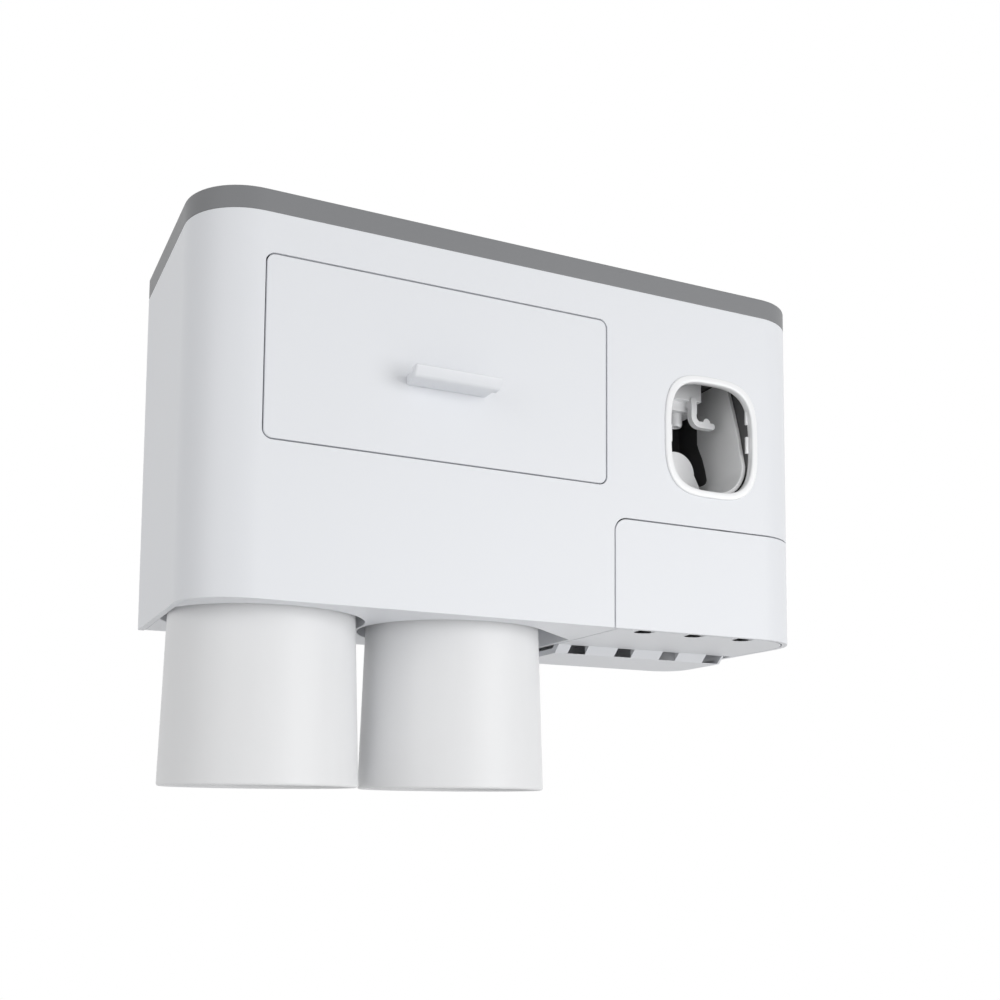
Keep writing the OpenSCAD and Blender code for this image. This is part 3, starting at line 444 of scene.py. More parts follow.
def grid_surface(points: np.ndarray, close_u: bool = False, close_v: bool = False) -> Surface:
    """Joins a grid of points with quads.

    Each quad joins P[i, j], P[i + 1, j], P[i + 1, j + 1] and P[i, j + 1]. Past the last
    row or column the index comes back to 0 where that direction is closed.

    Args:
        points: Array of rows, columns and three coordinates.
        close_u: Joins the last row to the first.
        close_v: Joins the last column to the first.

    Returns:
        Vertices and quads.
    """
    rows, cols = points.shape[:2]
    i = np.arange(rows if close_u else rows - 1)
    j = np.arange(cols if close_v else cols - 1)
    a, b = np.meshgrid(i, j, indexing="ij")
    c, d = (a + 1) % rows, (b + 1) % cols
    quads = np.stack([a * cols + b, c * cols + b, c * cols + d, a * cols + d], axis=-1)
    return points.reshape(-1, 3), quads.reshape(-1, 4)


def join(parts: Sequence[Surface]) -> Surface:
    """Puts several surfaces into one."""
    starts = np.cumsum([0] + [len(points) for points, _ in parts[:-1]])
    points = np.concatenate([p for p, _ in parts])
    quads = np.concatenate([q + s for (_, q), s in zip(parts, starts)])
    return points, quads


def revolve(profile: np.ndarray, centre: Sequence[float], axis: int = 2, steps: int = 96) -> Surface:
    """Turns a profile round an axis.

    A point is centre + h * axis + r * (cos a, sin a) in the two other directions, for each
    pair (r, h) of the profile and each angle a.

    Args:
        profile: Pairs of radius and height, from pole to pole or as a ring.
        centre: Point on the axis.
        axis: 1 for Y, 2 for Z.
        steps: Number of angles.

    Returns:
        The surface; a profile that starts and ends off the axis is joined into a ring.
    """
    angle = np.arange(steps) * FULL_TURN / steps
    radius, height = profile[:, :1], profile[:, 1:]
    first, second = radius * np.cos(angle), radius * np.sin(angle)
    along = np.broadcast_to(height, first.shape)
    order = [first, second, along] if axis == 2 else [first, along, second]
    points = np.stack(order, axis=-1) + np.asarray(centre, float)
    return grid_surface(points, close_u=bool(profile[0, 0] > 0.0), close_v=True)


def point(first: float, second: float) -> np.ndarray:
    """One point of a profile."""
    return np.array([[first, second]])


def arc(centre: Sequence[float], radius: float, start: float, end: float, steps: int = 8) -> np.ndarray:
    """Points of an arc, its angles in degrees."""
    angle = np.radians(np.linspace(start, end, steps + 1))
    return np.stack([centre[0] + radius * np.cos(angle), centre[1] + radius * np.sin(angle)], axis=-1)


def rounded_block(low: Sequence[float], high: Sequence[float], radius: float, steps: int = 6) -> Surface:
    """Block with all edges and corners rounded.

    A point is centre + s * (half - r) + r * n, where n is the unit vector of longitude u and
    latitude v and s holds the signs of its quadrant. Lines where a sign turns come twice,
    which lays out the flat faces, and one more point closes each pole.

    Args:
        low: Lowest corner.
        high: Highest corner.
        radius: Radius of the edges.
        steps: Steps of each quarter turn.

    Returns:
        The closed surface.
    """
    low, high = np.asarray(low, float), np.asarray(high, float)
    centre, half = (low + high) / 2.0, (high - low) / 2.0
    share = np.linspace(0.0, 1.0, steps + 1)
    turn = np.arange(4)
    u = ((turn[:, None] + share) * math.pi / 2.0).ravel()
    mid = np.repeat((turn + 0.5) * math.pi / 2.0, steps + 1)
    v = np.concatenate([(share - 1.0) * math.pi / 2.0, share * math.pi / 2.0])
    side = np.repeat([-1.0, 1.0], steps + 1)
    normal = np.stack(
        [np.outer(np.cos(v), np.cos(u)), np.outer(np.cos(v), np.sin(u)), np.outer(np.sin(v), np.ones_like(u))], -1
    )
    signs = np.stack(
        [
            np.broadcast_to(np.sign(np.cos(mid)), normal.shape[:2]),
            np.broadcast_to(np.sign(np.sin(mid)), normal.shape[:2]),
            np.broadcast_to(side[:, None], normal.shape[:2]),
        ],
        -1,
    )
    rows = centre + signs * (half - radius) + radius * normal
    pole = np.broadcast_to(centre, (1, len(u), 3))
    lift = np.array([0.0, 0.0, half[2]])
    return grid_surface(np.concatenate([pole - lift, rows, pole + lift]), close_v=True)


def tube_along(path: np.ndarray, radius: float, sides: int = 10) -> Surface:
    """Round wire along a path, closed at both ends.

    With t the path's tangent, a = t x z and b = t x a, a point is path + r (a cos v + b sin v).

    Args:
        path: Points of the centre line.
        radius: Radius of the wire.
        sides: Points round the wire.

    Returns:
        The closed surface.
    """
    tangent = np.gradient(path, axis=0)
    tangent /= np.linalg.norm(tangent, axis=1, keepdims=True)
    across = np.cross(tangent, [0.0, 0.0, 1.0])
    across /= np.linalg.norm(across, axis=1, keepdims=True)
    other = np.cross(tangent, across)
    angle = np.arange(sides) * FULL_TURN / sides
    ring = across[:, None] * np.cos(angle)[None, :, None] + other[:, None] * np.sin(angle)[None, :, None]
    rows = path[:, None] + radius * ring
    caps = np.broadcast_to(path[:, None], rows.shape)
    return grid_surface(np.concatenate([caps[:1], rows, caps[-1:]]), close_v=True)


def wedge(outline: Sequence[Pair], left: float, right: float, lean: float) -> Surface:
    """Closed solid with a convex outline in depth and height.

    The left side's points are (left, y, z) and the right side's are (right + k (y - y0), y, z),
    where k is the lean and y0 the smallest depth.

    Args:
        outline: Pairs of depth and height.
        left: Place of the left side along the wall.
        right: Place of the right side's front.
        lean: How far the right side runs outwards for each millimetre of depth.

    Returns:
        The closed surface.
    """
    flat = np.asarray(outline, float)
    reach = right + lean * (flat[:, 0] - flat[:, 0].min())
    sides = [np.column_stack([x, flat]) for x in (np.full(len(flat), left), reach)]
    ends = [np.broadcast_to(side.mean(axis=0), side.shape) for side in sides]
    return grid_surface(np.stack([ends[0], *sides, ends[1]]), close_v=True)


def superellipse(width: np.ndarray, height: np.ndarray, power: float, steps: int) -> np.ndarray:
    """Outline whose half axes follow |x / a|^p + |z / b|^p = 1, one row for each size."""
    angle = np.arange(steps) * FULL_TURN / steps
    bend_x = np.sign(np.cos(angle)) * np.abs(np.cos(angle)) ** (2.0 / power)
    bend_z = np.sign(np.sin(angle)) * np.abs(np.sin(angle)) ** (2.0 / power)
    return np.stack([np.outer(width / 2.0, bend_x), np.outer(height / 2.0, bend_z)], axis=-1)


# Pieces


def link(name: str, data: bpy.types.ID) -> bpy.types.Object:
    """Makes an object of its data and links it to the scene."""
    made = bpy.data.objects.new(name, data)
    bpy.context.scene.collection.objects.link(made)
    return made


class Workshop:
    """Makes pieces in the frame, finishes them and keeps the list of what was made."""

    def __init__(self, frame: dict[str, object]) -> None:
        """Keeps the loaded frame."""
        self.nodes: dict[str, bpy.types.Object] = frame["nodes"]
        self.made: list[str] = []

    def _place(self, piece: bpy.types.Object, finish: Finish, body: Body, stands_for: Sequence[str]) -> None:
        """Dresses a piece, lets it ride on its body and hides what it stands for."""
        piece.data.materials.clear()
        piece.data.materials.append(finish.material())
        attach(piece, body.value)
        if stands_for:
            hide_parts(*stands_for)
        self.made.append(piece.name)
        log.info("%s on %s: %d faces", piece.name, body.value, len(piece.data.polygons))

    def add(
        self, name: str, surface: Surface, finish: Finish, body: Body, stands_for: Sequence[str] = ()
    ) -> bpy.types.Object:
        """Makes a piece from a surface in millimetres.

        Args:
            name: Name of the piece.
            surface: Vertices and quads, in the drawing's own place.
            finish: Its finish.
            body: The body it rides on.
            stands_for: Nodes that it replaces.

        Returns:
            The piece.
        """
        piece = self._shape(name, surface)
        self._place(piece, finish, body, stands_for)
        return piece

    @staticmethod
    def _shape(name: str, surface: Surface) -> bpy.types.Object:
        """Makes a smooth object from a surface in millimetres."""
        points, quads = surface
        mesh = bpy.data.meshes.new(name)
        mesh.from_pydata(((points - ORIGIN) * MM).tolist(), [], quads.tolist())
        work = bmesh.new()
        work.from_mesh(mesh)
        bmesh.ops.remove_doubles(work, verts=work.verts, dist=MADE_WELD)
        bmesh.ops.recalc_face_normals(work, faces=work.faces)
        work.to_mesh(mesh)
        work.free()
        mesh.shade_smooth()
        return link(name, mesh)

    def _copy(self, node: str, flatten: bool = False) -> bpy.types.Object:
        """Copies a node, its vertices welded and its shading cleared.

        Args:
            node: Node to copy.
            flatten: Also joins the facets of each flat face.

        Returns:
            The copy.
        """
        mesh = bpy.data.meshes.new(node + "_moulded")
        work = bmesh.new()
        work.from_mesh(self.nodes[node].data)
        bmesh.ops.remove_doubles(work, verts=work.verts, dist=NODE_WELD)
        if flatten:
            bmesh.ops.dissolve_degenerate(work, dist=TINY_EDGE, edges=work.edges)
            bmesh.ops.dissolve_limit(
                work, angle_limit=FLAT, use_dissolve_boundaries=False, verts=work.verts, edges=work.edges
            )
        work.to_mesh(mesh)
        work.free()
        for name in ("custom_normal", "sharp_face", "sharp_edge"):
            if name in mesh.attributes:
                mesh.attributes.remove(mesh.attributes[name])
        mesh.shade_smooth()
        return link(node + "_moulded", mesh)

    def open_up(self, node: str, finish: Finish, body: Body, cuts: Sequence[Surface]) -> None:
        """Copies a node's mesh and cuts closed surfaces out of it.

        Args:
            node: Node to copy and stand for.
            finish: Its finish.
            body: The body it rides on.
            cuts: Surfaces in millimetres that don't touch each other.
        """
        piece = self._copy(node)
        cutter = self._shape(node + "_cutter", join(cuts))
        opening = piece.modifiers.new("opening", "BOOLEAN")
        opening.operation = "DIFFERENCE"
        opening.solver = "EXACT"
        opening.object = cutter
        piece.data = bpy.data.meshes.new_from_object(piece.evaluated_get(bpy.context.evaluated_depsgraph_get()))
        piece.modifiers.clear()
        bpy.data.objects.remove(cutter)
        piece.data.shade_smooth()
        piece.data.set_sharp_from_angle(angle=SHARP)
        self._place(piece, finish, body, [node])

    def soften(self, node: str, finish: Finish, body: Body) -> None:
        """Copies a node's mesh and rounds its sharp edges, as a mould does.

        Args:
            node: Node to copy and stand for.
            finish: Its finish.
            body: The body it rides on.
        """
        piece = self._copy(node, flatten=True)
        edge = piece.modifiers.new("edge", "BEVEL")
        edge.width = EDGES[node] * MM
        edge.segments = EDGE_SEGMENTS
        edge.limit_method = "ANGLE"
        edge.angle_limit = SHARP
        edge.use_clamp_overlap = False
        edge.harden_normals = True
        even = piece.modifiers.new("even", "WEIGHTED_NORMAL")
        even.weight = 100
        self._place(piece, finish, body, [node])

    def dress(self, node: str, finish: Finish) -> None:
        """Gives a node that keeps its shape its finish."""
        piece = self.nodes[node]
        piece.data.materials.clear()
        piece.data.materials.append(finish.material())
        log.info("%s keeps its shape", node)


# Sub-assemblies


@dataclass
class Screw:
    """Pan-head screw along Y, its head towards the wall.

    Attributes:
        head_radius: Radius of the head.
        head_height: Height of the head.
        radius: Outer radius of the thread.
        length: Length below the head.
        pitch: Pitch of the thread.
    """

    head_radius: float
    head_height: float
    radius: float
    length: float
    pitch: float = 0.9

    def surface(self, x: float, z: float, under_head: float) -> Surface:
        """Head with a cross recess, and a threaded shank.

        The head's height is h (1 - dome (r / R)^4), less a cross recess that is deepest in the
        middle. Its arms' reach and half width are shares of R. The thread's radius is
        R - d |2 f - 1| with f the fraction of y / pitch - a / turn, and runs out over the tip.

        Args:
            x: Place along the wall.
            z: Place up from the underside.
            under_head: Depth of the head's underside.

        Returns:
            The screw's surface.
        """
        sides, rings, rows = 72, 22, 60
        dome, notch, tip_radii = 0.45, 0.22, 1.5
        reach, half, depth, edge, steep = 0.62, 0.17, 0.6, 1.6, 6.0
        angle = np.arange(sides) * FULL_TURN / sides
        radii = np.linspace(0.0, self.head_radius, rings)[:, None]
        first, second = radii * np.cos(angle), radii * np.sin(angle)
        slot = np.minimum(np.abs(first), np.abs(second)) / (half * self.head_radius)
        end = np.clip((reach * self.head_radius - radii) * steep, 0.0, 1.0)
        inside = np.clip(edge - slot, 0.0, 1.0) * end
        rise = self.head_height * (1.0 - dome * (radii / self.head_radius) ** 4 - depth * inside)
        head = np.stack([x + first, under_head + rise, z + second], axis=-1)
        rim = np.stack([x + first[-1:], np.full((1, sides), under_head), z + second[-1:]], axis=-1)
        along = np.linspace(0.0, self.length, rows)[:, None]
        fraction = np.mod(along / self.pitch - angle / FULL_TURN, 1.0)
        taper = np.clip((self.length - along) / (tip_radii * self.radius), 0.05, 1.0)
        thread = (self.radius - notch * self.radius * np.abs(2.0 * fraction - 1.0)) * taper
        shank = np.stack([x + thread * np.cos(angle), under_head - along + 0 * angle, z + thread * np.sin(angle)], -1)
        tip = np.broadcast_to([x, under_head - self.length, z], (1, sides, 3))
        return grid_surface(np.concatenate([head, rim, shank, tip]), close_v=True)

    def group(self, places: Sequence[Pair], under_head: float) -> Surface:
        """Several screws at the same depth, as one surface."""
        return join([self.surface(x, z, under_head) for x, z in places])


@dataclass
class Shell:
    """White shell with its rear panel, wall bracket and pad.

    Attributes:
        screw: The rear panel's screws.
        screw_x: Distance of the screws from the middle.
        screw_z: Heights of the screws.
        screw_y: Depth of the screw heads' undersides.
    """

    screw: Screw = field(default_factory=lambda: Screw(2.6, 1.3, 1.1, 12.3))
    screw_x: float = 120.3
    screw_z: Pair = (52.0, 115.2)
    screw_y: float = 91.7

    def build(self, shop: Workshop) -> None:
        """Builds and dresses the shell's pieces."""
        shop.soften("housing_shell", SHELL, Body.ORGANISER)
        shop.soften("back_cover", SHELL, Body.ORGANISER)
        shop.soften("wall_bracket", TRIM, Body.ORGANISER)
        shop.dress("adhesive_pad", FOAM)
        places = [(side * self.screw_x, z) for side in (-1, 1) for z in self.screw_z]
        shop.add("rear_screws", self.screw.group(places, self.screw_y), STEEL, Body.ORGANISER, ["back_screws"])


class TopTray:
    """Grey storage tray on top, and the socket that grips the paste tube's neck."""

    def build(self, shop: Workshop) -> None:
        """Builds and dresses the tray's pieces."""
        shop.soften("top_tray", TRAY, Body.ORGANISER)
        shop.soften("tube_socket", SILICONE, Body.ORGANISER)


@dataclass
class Drawer:
    """Drawer with its bay, its front and its rounded handle.

    Attributes:
        middle: Place of the handle's middle along X and Z.
        width: Width of the bar.
        reach: How far the bar stands out.
        bar: Thickness and height of the bar.
        stem: Height of the stem behind the bar.
        stem_in: How far the stem starts inside the bar's ends.
        stem_deep: How far the stem reaches into the bar.
        stem_gap: Gap between the stem and the drawer's face.
        stem_round: Radius of the stem's edges.
        bar_round: Radius of the bar's edges.
        lean: How far the face leans back for each millimetre down.
        screw: The handle's screws.
        screw_apart: Distance between the two screws.
        screw_y: Depth of the screw heads' undersides.
    """

    middle: Pair = (-36.55, 82.636)
    width: float = 33.5
    reach: float = 13.0
    bar: Pair = (4.4, 4.2)
    stem: float = 3.4
    stem_in: float = 1.2
    stem_deep: float = 1.6
    stem_gap: float = 0.05
    stem_round: float = 0.6
    bar_round: float = 0.9
    lean: float = 0.55
    screw: Screw = field(default_factory=lambda: Screw(2.2, 1.2, 1.0, 8.9, 0.8))
    screw_apart: float = 18.0
    screw_y: float = 2.4

    def handle(self) -> Surface:
        """Rounded bar, its face leaning back as it goes down, on a rounded stem."""
        x, z = self.middle
        half, thick, high = self.width / 2.0, *self.bar
        top = z + high / 2.0
        low = (x - half, -self.reach, z - high / 2.0)
        bar = rounded_block(low, (x + half, thick - self.reach, top), self.bar_round)
        bar[0][:, 1] += self.lean * (top - bar[0][:, 2])
        stem_half = half - self.stem_in
        stem_low = (x - stem_half, thick - self.reach - self.stem_deep, z - self.stem / 2.0)
        stem_high = (x + stem_half, -self.stem_gap, z + self.stem / 2.0)
        stem = rounded_block(stem_low, stem_high, self.stem_round)
        return join([bar, stem])

    def build(self, shop: Workshop) -> None:
        """Builds and dresses the drawer's pieces."""
        shop.soften("drawer_bay", SHELL, Body.ORGANISER)
        shop.soften("drawer_front", SHELL, Body.DRAWER)
        shop.soften("drawer_tray", SHELL, Body.DRAWER)
        shop.add("handle_bar", self.handle(), SHELL, Body.DRAWER, ["drawer_handle"])
        x, z = self.middle
        places = [(x + side * self.screw_apart / 2.0, z) for side in (-1, 1)]
        shop.add("handle_fixings", self.screw.group(places, self.screw_y), STEEL, Body.DRAWER, ["handle_screws"])


@dataclass
class BrushBay:
    """Rack with its neck slots, bay lining, flip-up cover and the cover's rod.

    Attributes:
        slots: Middles of the neck slots along X.
        slot_half: Half the width of a slot.
        slot_cut: Depths and heights of the thinned floor behind a slot.
        drains: Middles of the drain holes along X, and how far each one's cut runs outwards.
        drain_half: Half the width of a drain hole.
        drain_cut: Depths and heights of the opening behind a drain hole.
        lean: How far a slot's cut runs outwards for each millimetre of depth.
    """

    slots: tuple[float, ...] = (49.9, 73.1, 96.3)
    slot_half: float = 3.8
    slot_cut: tuple[Pair, ...] = ((6.0, 0.12), (9.1, 0.12), (22.5, 2.2), (22.5, 3.0), (6.0, 3.0))
    drains: tuple[Pair, ...] = ((46.7, 0.62), (69.3, 0.62), (91.9, 0.62), (114.5, 0.0))
    drain_half: float = 4.15
    drain_cut: tuple[Pair, ...] = ((53.5, -3.25), (67.0, -1.15), (67.0, 1.0), (53.5, 1.0))
    lean: float = 0.62

    def build(self, shop: Workshop) -> None:
        """Builds and dresses the brush bay's pieces."""
        cuts = [wedge(self.slot_cut, x - self.slot_half, x + self.slot_half, self.lean) for x in self.slots]
        cuts += [wedge(self.drain_cut, x - self.drain_half, x + self.drain_half, lean) for x, lean in self.drains]
        shop.open_up("rack_base", SHELL, Body.ORGANISER, cuts)
        shop.soften("brush_bay", SHELL, Body.ORGANISER)
        shop.soften("dust_cover", SHELL, Body.COVER)
        shop.dress("cover_rod", STEEL)


@dataclass
class Dispenser:
    """Push-to-feed dispenser: ring, case, chute, nozzle, paddle and pump.

    Attributes:
        middle: Place of the window's middle along X and Z.
        size: Outer width and height of the ring.
        power: Power of the window's superellipse.
        band: Width of the ring's band.
        flange: How far the flange reaches past the sleeve.
        proud: How far the ring stands out.
        sleeve: Depth of the ring's sleeve.
        tab: Width, depth and height of a snap tab.
        tab_step: Distance between two tabs.
        tab_round: Radius of a tab's edges.
        spring_middle: Place of the spring along X and Y.
        spring_radius: Mean radius of the spring's turns.
        spring_wire: Radius of the spring's wire.
        spring_span: Heights of the spring's ends.
        spring_turns: Number of turns.
        spring_steps: Points of each turn.
        spring_ease: How close the end turns lie.
        seal_y: Depth of the seal's middle.
        seal_radii: Inner and outer radius of the seal.
        seal_half: Half the seal's height along the pump.
        pump_z: Height of the pump's axis.
        screw: The case's screws.
        screw_x: Distance of the case's screws from the window's middle.
        screw_z: Heights of the case's screws.
        screw_y: Depth of the screw heads' undersides.
    """

    middle: Pair = (78.8, 79.8)
    size: Pair = (44.3, 49.5)
    power: float = 3.3
    band: float = 2.8
    flange: float = 1.4
    proud: float = 0.8
    sleeve: float = 2.4
    tab: Triple = (1.5, 1.2, 7.0)
    tab_step: float = 12.0
    tab_round: float = 0.3
    spring_middle: Pair = (78.8, 42.0)
    spring_radius: float = 2.55
    spring_wire: float = 0.45
    spring_span: Pair = (48.2, 54.6)
    spring_turns: float = 5.0
    spring_steps: int = 28
    spring_ease: float = 0.09
    seal_y: float = 40.0
    seal_radii: Pair = (4.72, 5.98)
    seal_half: float = 0.74
    pump_z: float = 72.6
    screw: Screw = field(default_factory=lambda: Screw(2.4, 1.4, 1.1, 6.9, 0.8))
    screw_x: float = 24.6
    screw_z: Pair = (56.0, 106.0)
    screw_y: float = 11.0

    def ring(self) -> Surface:
        """Window ring with a rounded face.

        The profile gives pairs of inset o and depth y, and is carried round the window: a
        point is the superellipse of the size less 2 o, at depth y.

        Returns:
            The closed surface.
        """
        profile = np.array(
            [
                [0.0, -0.02], [0.0, -0.3], [0.06, -0.52], [0.24, -0.7], [0.5, -0.78], [0.8, -self.proud],
                [1.4, -self.proud], [1.95, -self.proud], [2.3, -0.76], [2.56, -0.66], [2.72, -0.46], [self.band, -0.2],
                [self.band, 0.8], [self.band, self.sleeve - 0.2], [self.band - 0.15, self.sleeve],
                [self.flange + 0.15, self.sleeve], [self.flange, self.sleeve - 0.15], [self.flange, 0.2],
                [self.flange - 0.1, 0.0], [0.1, 0.0],
            ]
        )
        inset, depth = profile[:, 0], profile[:, 1]
        flat = superellipse(self.size[0] - 2.0 * inset, self.size[1] - 2.0 * inset, self.power, 160)
        points = np.stack(
            [
                self.middle[0] + flat[..., 0],
                np.broadcast_to(depth[:, None], flat.shape[:2]),
                self.middle[1] + flat[..., 1],
            ],
            axis=-1,
        )
        return grid_surface(points, close_u=True, close_v=True)

    def tabs(self) -> Surface:
        """Snap tabs inside the ring."""
        wide, deep, high = self.tab
        x_in = self.size[0] / 2.0 - self.band - wide / 2.0
        blocks = []
        for side in (-1.0, 1.0):
            for row in (0.0, 1.0):
                x, z = self.middle[0] + side * x_in, self.middle[1] + row * self.tab_step
                low = (x - wide / 2.0, self.sleeve - deep, z - high / 2.0)
                top = (x + wide / 2.0, self.sleeve, z + high / 2.0)
                blocks.append(rounded_block(low, top, self.tab_round, 3))
        return join(blocks)

    def spring(self) -> Surface:
        """Pressure spring with closed end turns.

        With s from 0 to 1, the angle is s times all turns and the height eases in and out as
        s - ease sin(2 pi s) does, so that the first and last turns lie close.

        Returns:
            The closed surface.
        """
        share = np.linspace(0.0, 1.0, int(self.spring_turns * self.spring_steps))
        angle = share * self.spring_turns * FULL_TURN
        low, high = self.spring_span[0] + self.spring_wire, self.spring_span[1] - self.spring_wire
        ease = share - np.sin(FULL_TURN * share) * self.spring_ease
        x, y = self.spring_middle
        path = np.stack(
            [
                x + self.spring_radius * np.cos(angle),
                y + self.spring_radius * np.sin(angle),
                low + (high - low) * ease,
            ],
            axis=-1,
        )
        return tube_along(path, self.spring_wire)

    def seal(self) -> Surface:
        """Sealing ring, its round section a little flattened by the groove."""
        inner, outer = self.seal_radii
        steps = 20
        angle = np.arange(steps) * FULL_TURN / steps
        across = (inner + outer) / 2.0 + (outer - inner) / 2.0 * np.cos(angle)
        profile = np.stack([across, self.seal_half * np.sin(angle)], axis=-1)
        return revolve(profile, (self.middle[0], self.seal_y, self.pump_z), axis=1)

    def build(self, shop: Workshop) -> None:
        """Builds and dresses the dispenser's pieces."""
        shop.add("ring", join([self.ring(), self.tabs()]), TRIM, Body.ORGANISER, ["window_ring"])
        # The case gets the near-black finish, which is painted shade for the shadowed inside behind the window.
        shop.soften("dispenser_case", CASE_PAINTED_SHADE, Body.ORGANISER)
        shop.soften("brush_guide", GUIDE, Body.ORGANISER)
        shop.soften("nozzle_block", TRIM, Body.ORGANISER)
        shop.soften("nozzle", TRIM, Body.ORGANISER)
        shop.soften("feed_tube", SILICONE, Body.ORGANISER)
        shop.dress("pump_cylinder", TRIM)
        shop.soften("inlet_valve", SILICONE, Body.ORGANISER)
        shop.dress("paddle_pin", STEEL)
        places = [(self.middle[0] + side * self.screw_x, z) for side in (-1, 1) for z in self.screw_z]
        shop.add("case_fixings", self.screw.group(places, self.screw_y), STEEL, Body.ORGANISER, ["case_screws"])
        spring = shop.add("return_spring", self.spring(), STEEL, Body.ORGANISER, ["paddle_spring"])
        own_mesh(spring)
        shop.soften("push_paddle", TRIM, Body.PADDLE)
        shop.soften("plunger", GUIDE, Body.PISTON)
        shop.add("piston_seal", self.seal(), SEAL, Body.PISTON, ["plunger_seal"])


@dataclass
class Cup:
    """Frosted cup that hangs mouth down from its magnet.

    Attributes:
        name: Name of the piece.
        node: Node that it stands for.
        body: Body that it rides on.
        x: Place of its axis along the wall.
        y: Depth of its axis.
        span: Heights of the mouth and of the closed end.
        radii: Outer radius at the mouth and at the closed end.
        thick: Thickness of the wall.
        turn: Outer and inner radius of the closed end's rounding.
        disc: Radius and depth of the recess for the steel disc.
        rim: Radius of the recess's rim.
        foot: Chamfer at the recess's foot.
    """

    name: str
    node: str
    body: Body
    x: float
    y: float = 46.0
    span: Pair = (-61.5, 28.5)
    radii: Pair = (36.213, 33.413)
    thick: float = 1.9
    turn: Pair = (5.0, 4.0)
    disc: Pair = (11.1, 0.9)
    rim: float = 0.3
    foot: float = 0.15

    def profile(self) -> np.ndarray:
        """Half section from the recess over the wall and the lip to the inner end."""
        mouth, top = self.span
        mouth_r, end_r = self.radii
        lip = self.thick / 2.0
        lean = math.degrees(math.atan2(mouth_r - end_r, top - mouth))
        outer, inner = self.turn
        recess_r, recess_d = self.disc
        floor, ceiling = top - recess_d, top - self.thick
        return np.concatenate(
            [
                point(0.0, floor),
                point(recess_r - self.foot, floor),
                point(recess_r, floor + self.foot),
                arc((recess_r + self.rim, top - self.rim), self.rim, 180.0, 90.0, 4),
                arc((end_r - outer, top - outer), outer, 90.0, lean, 12),
                arc((mouth_r - lip, mouth + lip), lip, 0.0, -180.0, 12),
                arc((end_r - self.thick - inner, ceiling - inner), inner, 0.0, 90.0, 12),
                point(0.0, ceiling),
            ]
        )

    def build(self, shop: Workshop) -> None:
        """Builds and dresses the cup and its steel disc."""
        surface = revolve(self.profile(), (self.x, self.y, 0.0), steps=144)
        shop.add(self.name, surface, CUP, self.body, [self.node])
        shop.dress(self.node + "_disc", STEEL)


@dataclass
class CupPair:
    """Two cups and the dock that they hang in.

    Attributes:
        left_x: Axis of the left cup.
        right_x: Axis of the right cup.
    """

    left_x: float = -89.9
    right_x: float = -13.7

    def build(self, shop: Workshop) -> None:
        """Builds and dresses the dock, the magnets and both cups."""
        shop.soften("cup_dock", SHELL, Body.ORGANISER)
        shop.dress("dock_magnets", MAGNET)
        Cup("left_tumbler", "cup_left", Body.LEFT_CUP, self.left_x).build(shop)
        Cup("right_tumbler", "cup_right", Body.RIGHT_CUP, self.right_x).build(shop)


# Studio


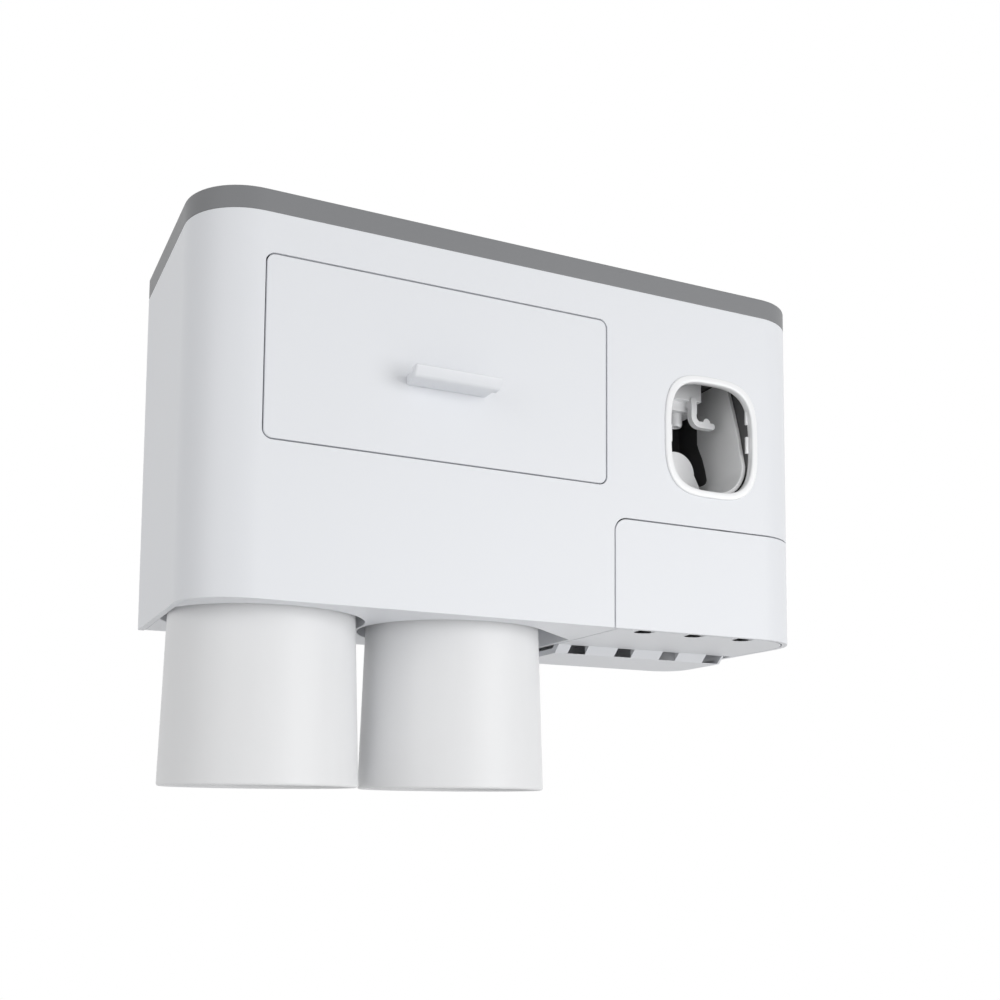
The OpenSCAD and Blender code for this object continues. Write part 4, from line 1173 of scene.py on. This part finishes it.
@dataclass
class Studio:
    """Camera, lamps, white surroundings and floor.

    Attributes:
        place: The camera's place in millimetres, in the part's drawing.
        yaw: Turn to the right, in degrees.
        pitch: Tilt up, in degrees.
        roll: Roll, in degrees.
        focal: Focal length as a share of the frame's width.
        sensor: Width of the sensor in millimetres.
        shift: Upward shift as a share of the frame.
        lamps: Name, place in metres and power in watts of each lamp.
        lamp_size: Length of a lamp's side in metres.
        target: The point that the lamps face, in metres.
        ambient: Strength of the light from all round.
        floor_z: Height of the floor in metres.
        floor_radius: Radius of the floor in metres.
        floor_grey: Brightness of the floor's paint.
        floor_clear: Distances from the middle between which the floor turns white, in metres.
        floor_least: Share of white in the floor's middle.
    """

    place: Triple = (-205.1, -400.9, -70.1)
    yaw: float = 25.45
    pitch: float = 5.19
    roll: float = 0.41
    focal: float = 1.2372
    sensor: float = 36.0
    shift: float = 0.2
    lamps: tuple[tuple[str, Triple, float], ...] = (
        ("key", (0.62, -1.25, -0.12), 8.6),
        ("side", (-1.2, -0.7, 0.1), 3.2),
    )
    lamp_size: float = 0.9
    target: Triple = (0.0, -0.05, -0.02)
    ambient: float = 0.45
    floor_z: float = -0.8
    floor_radius: float = 1.5
    floor_grey: float = 0.9
    floor_clear: Pair = (0.25, 0.95)
    floor_least: float = 0.3

    def camera(self) -> None:
        """Makes the camera at the photograph's viewing angle."""
        yaw, pitch, roll = (math.radians(a) for a in (self.yaw, self.pitch, self.roll))
        ahead = Vector((math.sin(yaw) * math.cos(pitch), math.cos(yaw) * math.cos(pitch), math.sin(pitch)))
        right = Vector((math.cos(yaw), -math.sin(yaw), 0.0))
        up = right.cross(ahead)
        across = math.cos(roll) * right + math.sin(roll) * up
        upward = -math.sin(roll) * right + math.cos(roll) * up
        data = bpy.data.cameras.new("camera")
        data.sensor_fit = "HORIZONTAL"
        data.sensor_width = self.sensor
        data.lens = self.focal * self.sensor
        data.shift_y = self.shift
        data.clip_start = 0.01
        camera = link("camera", data)
        place = (np.array(self.place) - ORIGIN) * MM
        turn = Matrix((across, upward, -ahead)).transposed().to_4x4()
        camera.matrix_world = Matrix.Translation(Vector(place.tolist())) @ turn
        bpy.context.scene.camera = camera

    def lamp(self, name: str, place: Triple, power: float) -> None:
        """Adds a soft square lamp.

        Args:
            name: Name of the lamp.
            place: Its place in metres.
            power: Power in watts.
        """
        data = bpy.data.lights.new(name, "AREA")
        data.shape = "SQUARE"
        data.size = self.lamp_size
        data.energy = power
        lamp = link(name, data)
        lamp.location = place
        lamp.rotation_mode = "QUATERNION"
        lamp.rotation_quaternion = (Vector(self.target) - Vector(place)).to_track_quat("-Z", "Y")

    @staticmethod
    def seen(graph: Graph) -> Wire:
        """1 for rays that show a background: from the camera, a reflection or a clear body."""
        path = graph.node("ShaderNodeLightPath", output="Is Camera Ray")
        rays = path.socket.node.outputs
        total = path + Wire(graph, rays["Is Glossy Ray"]) + Wire(graph, rays["Is Transmission Ray"])
        return total.step(0.0, 1.0)

    def surroundings(self) -> None:
        """Plain light from all round, seen as white."""
        world = bpy.data.worlds.new("surroundings")
        world.use_nodes = True
        bpy.context.scene.world = world
        graph = Graph(world.node_tree)
        light = graph.node("ShaderNodeBackground", None, {"Color": WHITE, "Strength": self.ambient})
        white = graph.node("ShaderNodeBackground", None, {"Color": WHITE, "Strength": 1.0})
        mixed = graph.node("ShaderNodeMixShader", None, {0: self.seen(graph), 1: light, 2: white})
        graph.finish(mixed, "ShaderNodeOutputWorld")

    def floor(self) -> None:
        """Round pale floor, white to the eye far from the object, with the shadow in its middle."""
        material = bpy.data.materials.new("floor_paint")
        material.use_nodes = True
        graph = Graph(material.node_tree)
        grey, least = self.floor_grey, self.floor_least
        paint = graph.node("ShaderNodeBsdfDiffuse", None, {"Color": (grey, grey, grey, 1.0)})
        white = graph.node("ShaderNodeEmission", None, {"Color": WHITE, "Strength": 1.0})
        flat = graph.node("ShaderNodeVectorMath", {"operation": "LENGTH"}, {0: graph.place((1.0, 1.0, 0.0))}, "Value")
        share = flat.step(*self.floor_clear) * (1.0 - least) + least
        mixed = graph.node("ShaderNodeMixShader", None, {0: share * self.seen(graph), 1: paint, 2: white})
        graph.finish(mixed)
        rings, steps = 12, 64
        radius = np.linspace(0.0, self.floor_radius, rings)[:, None]
        angle = np.arange(steps) * FULL_TURN / steps
        height = np.full((rings, steps), self.floor_z)
        points = np.stack([radius * np.cos(angle), radius * np.sin(angle), height], axis=-1)
        vertices, quads = grid_surface(points, close_v=True)
        mesh = bpy.data.meshes.new("floor")
        mesh.from_pydata(vertices.tolist(), [], quads.tolist())
        mesh.materials.append(material)
        floor = link("floor", mesh)

    def build(self) -> None:
        """Sets up the camera, lamps, surroundings and floor."""
        self.camera()
        self.surroundings()
        self.floor()
        for name, place, power in self.lamps:
            self.lamp(name, place, power)
        bpy.context.scene.view_settings.view_transform = "Standard"
        log.info("studio ready")


def main() -> None:
    """Builds the studio and every sub-assembly in order."""
    logging.basicConfig(level=logging.INFO, format="%(name)s: %(message)s")
    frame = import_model()
    Studio().build()
    shop = Workshop(frame)
    for assembly in (Shell(), TopTray(), Drawer(), BrushBay(), Dispenser(), CupPair()):
        assembly.build(shop)
        log.info("%s built", type(assembly).__name__)
    log.info("%d pieces made", len(shop.made))


if __name__ == "__main__":
    main()
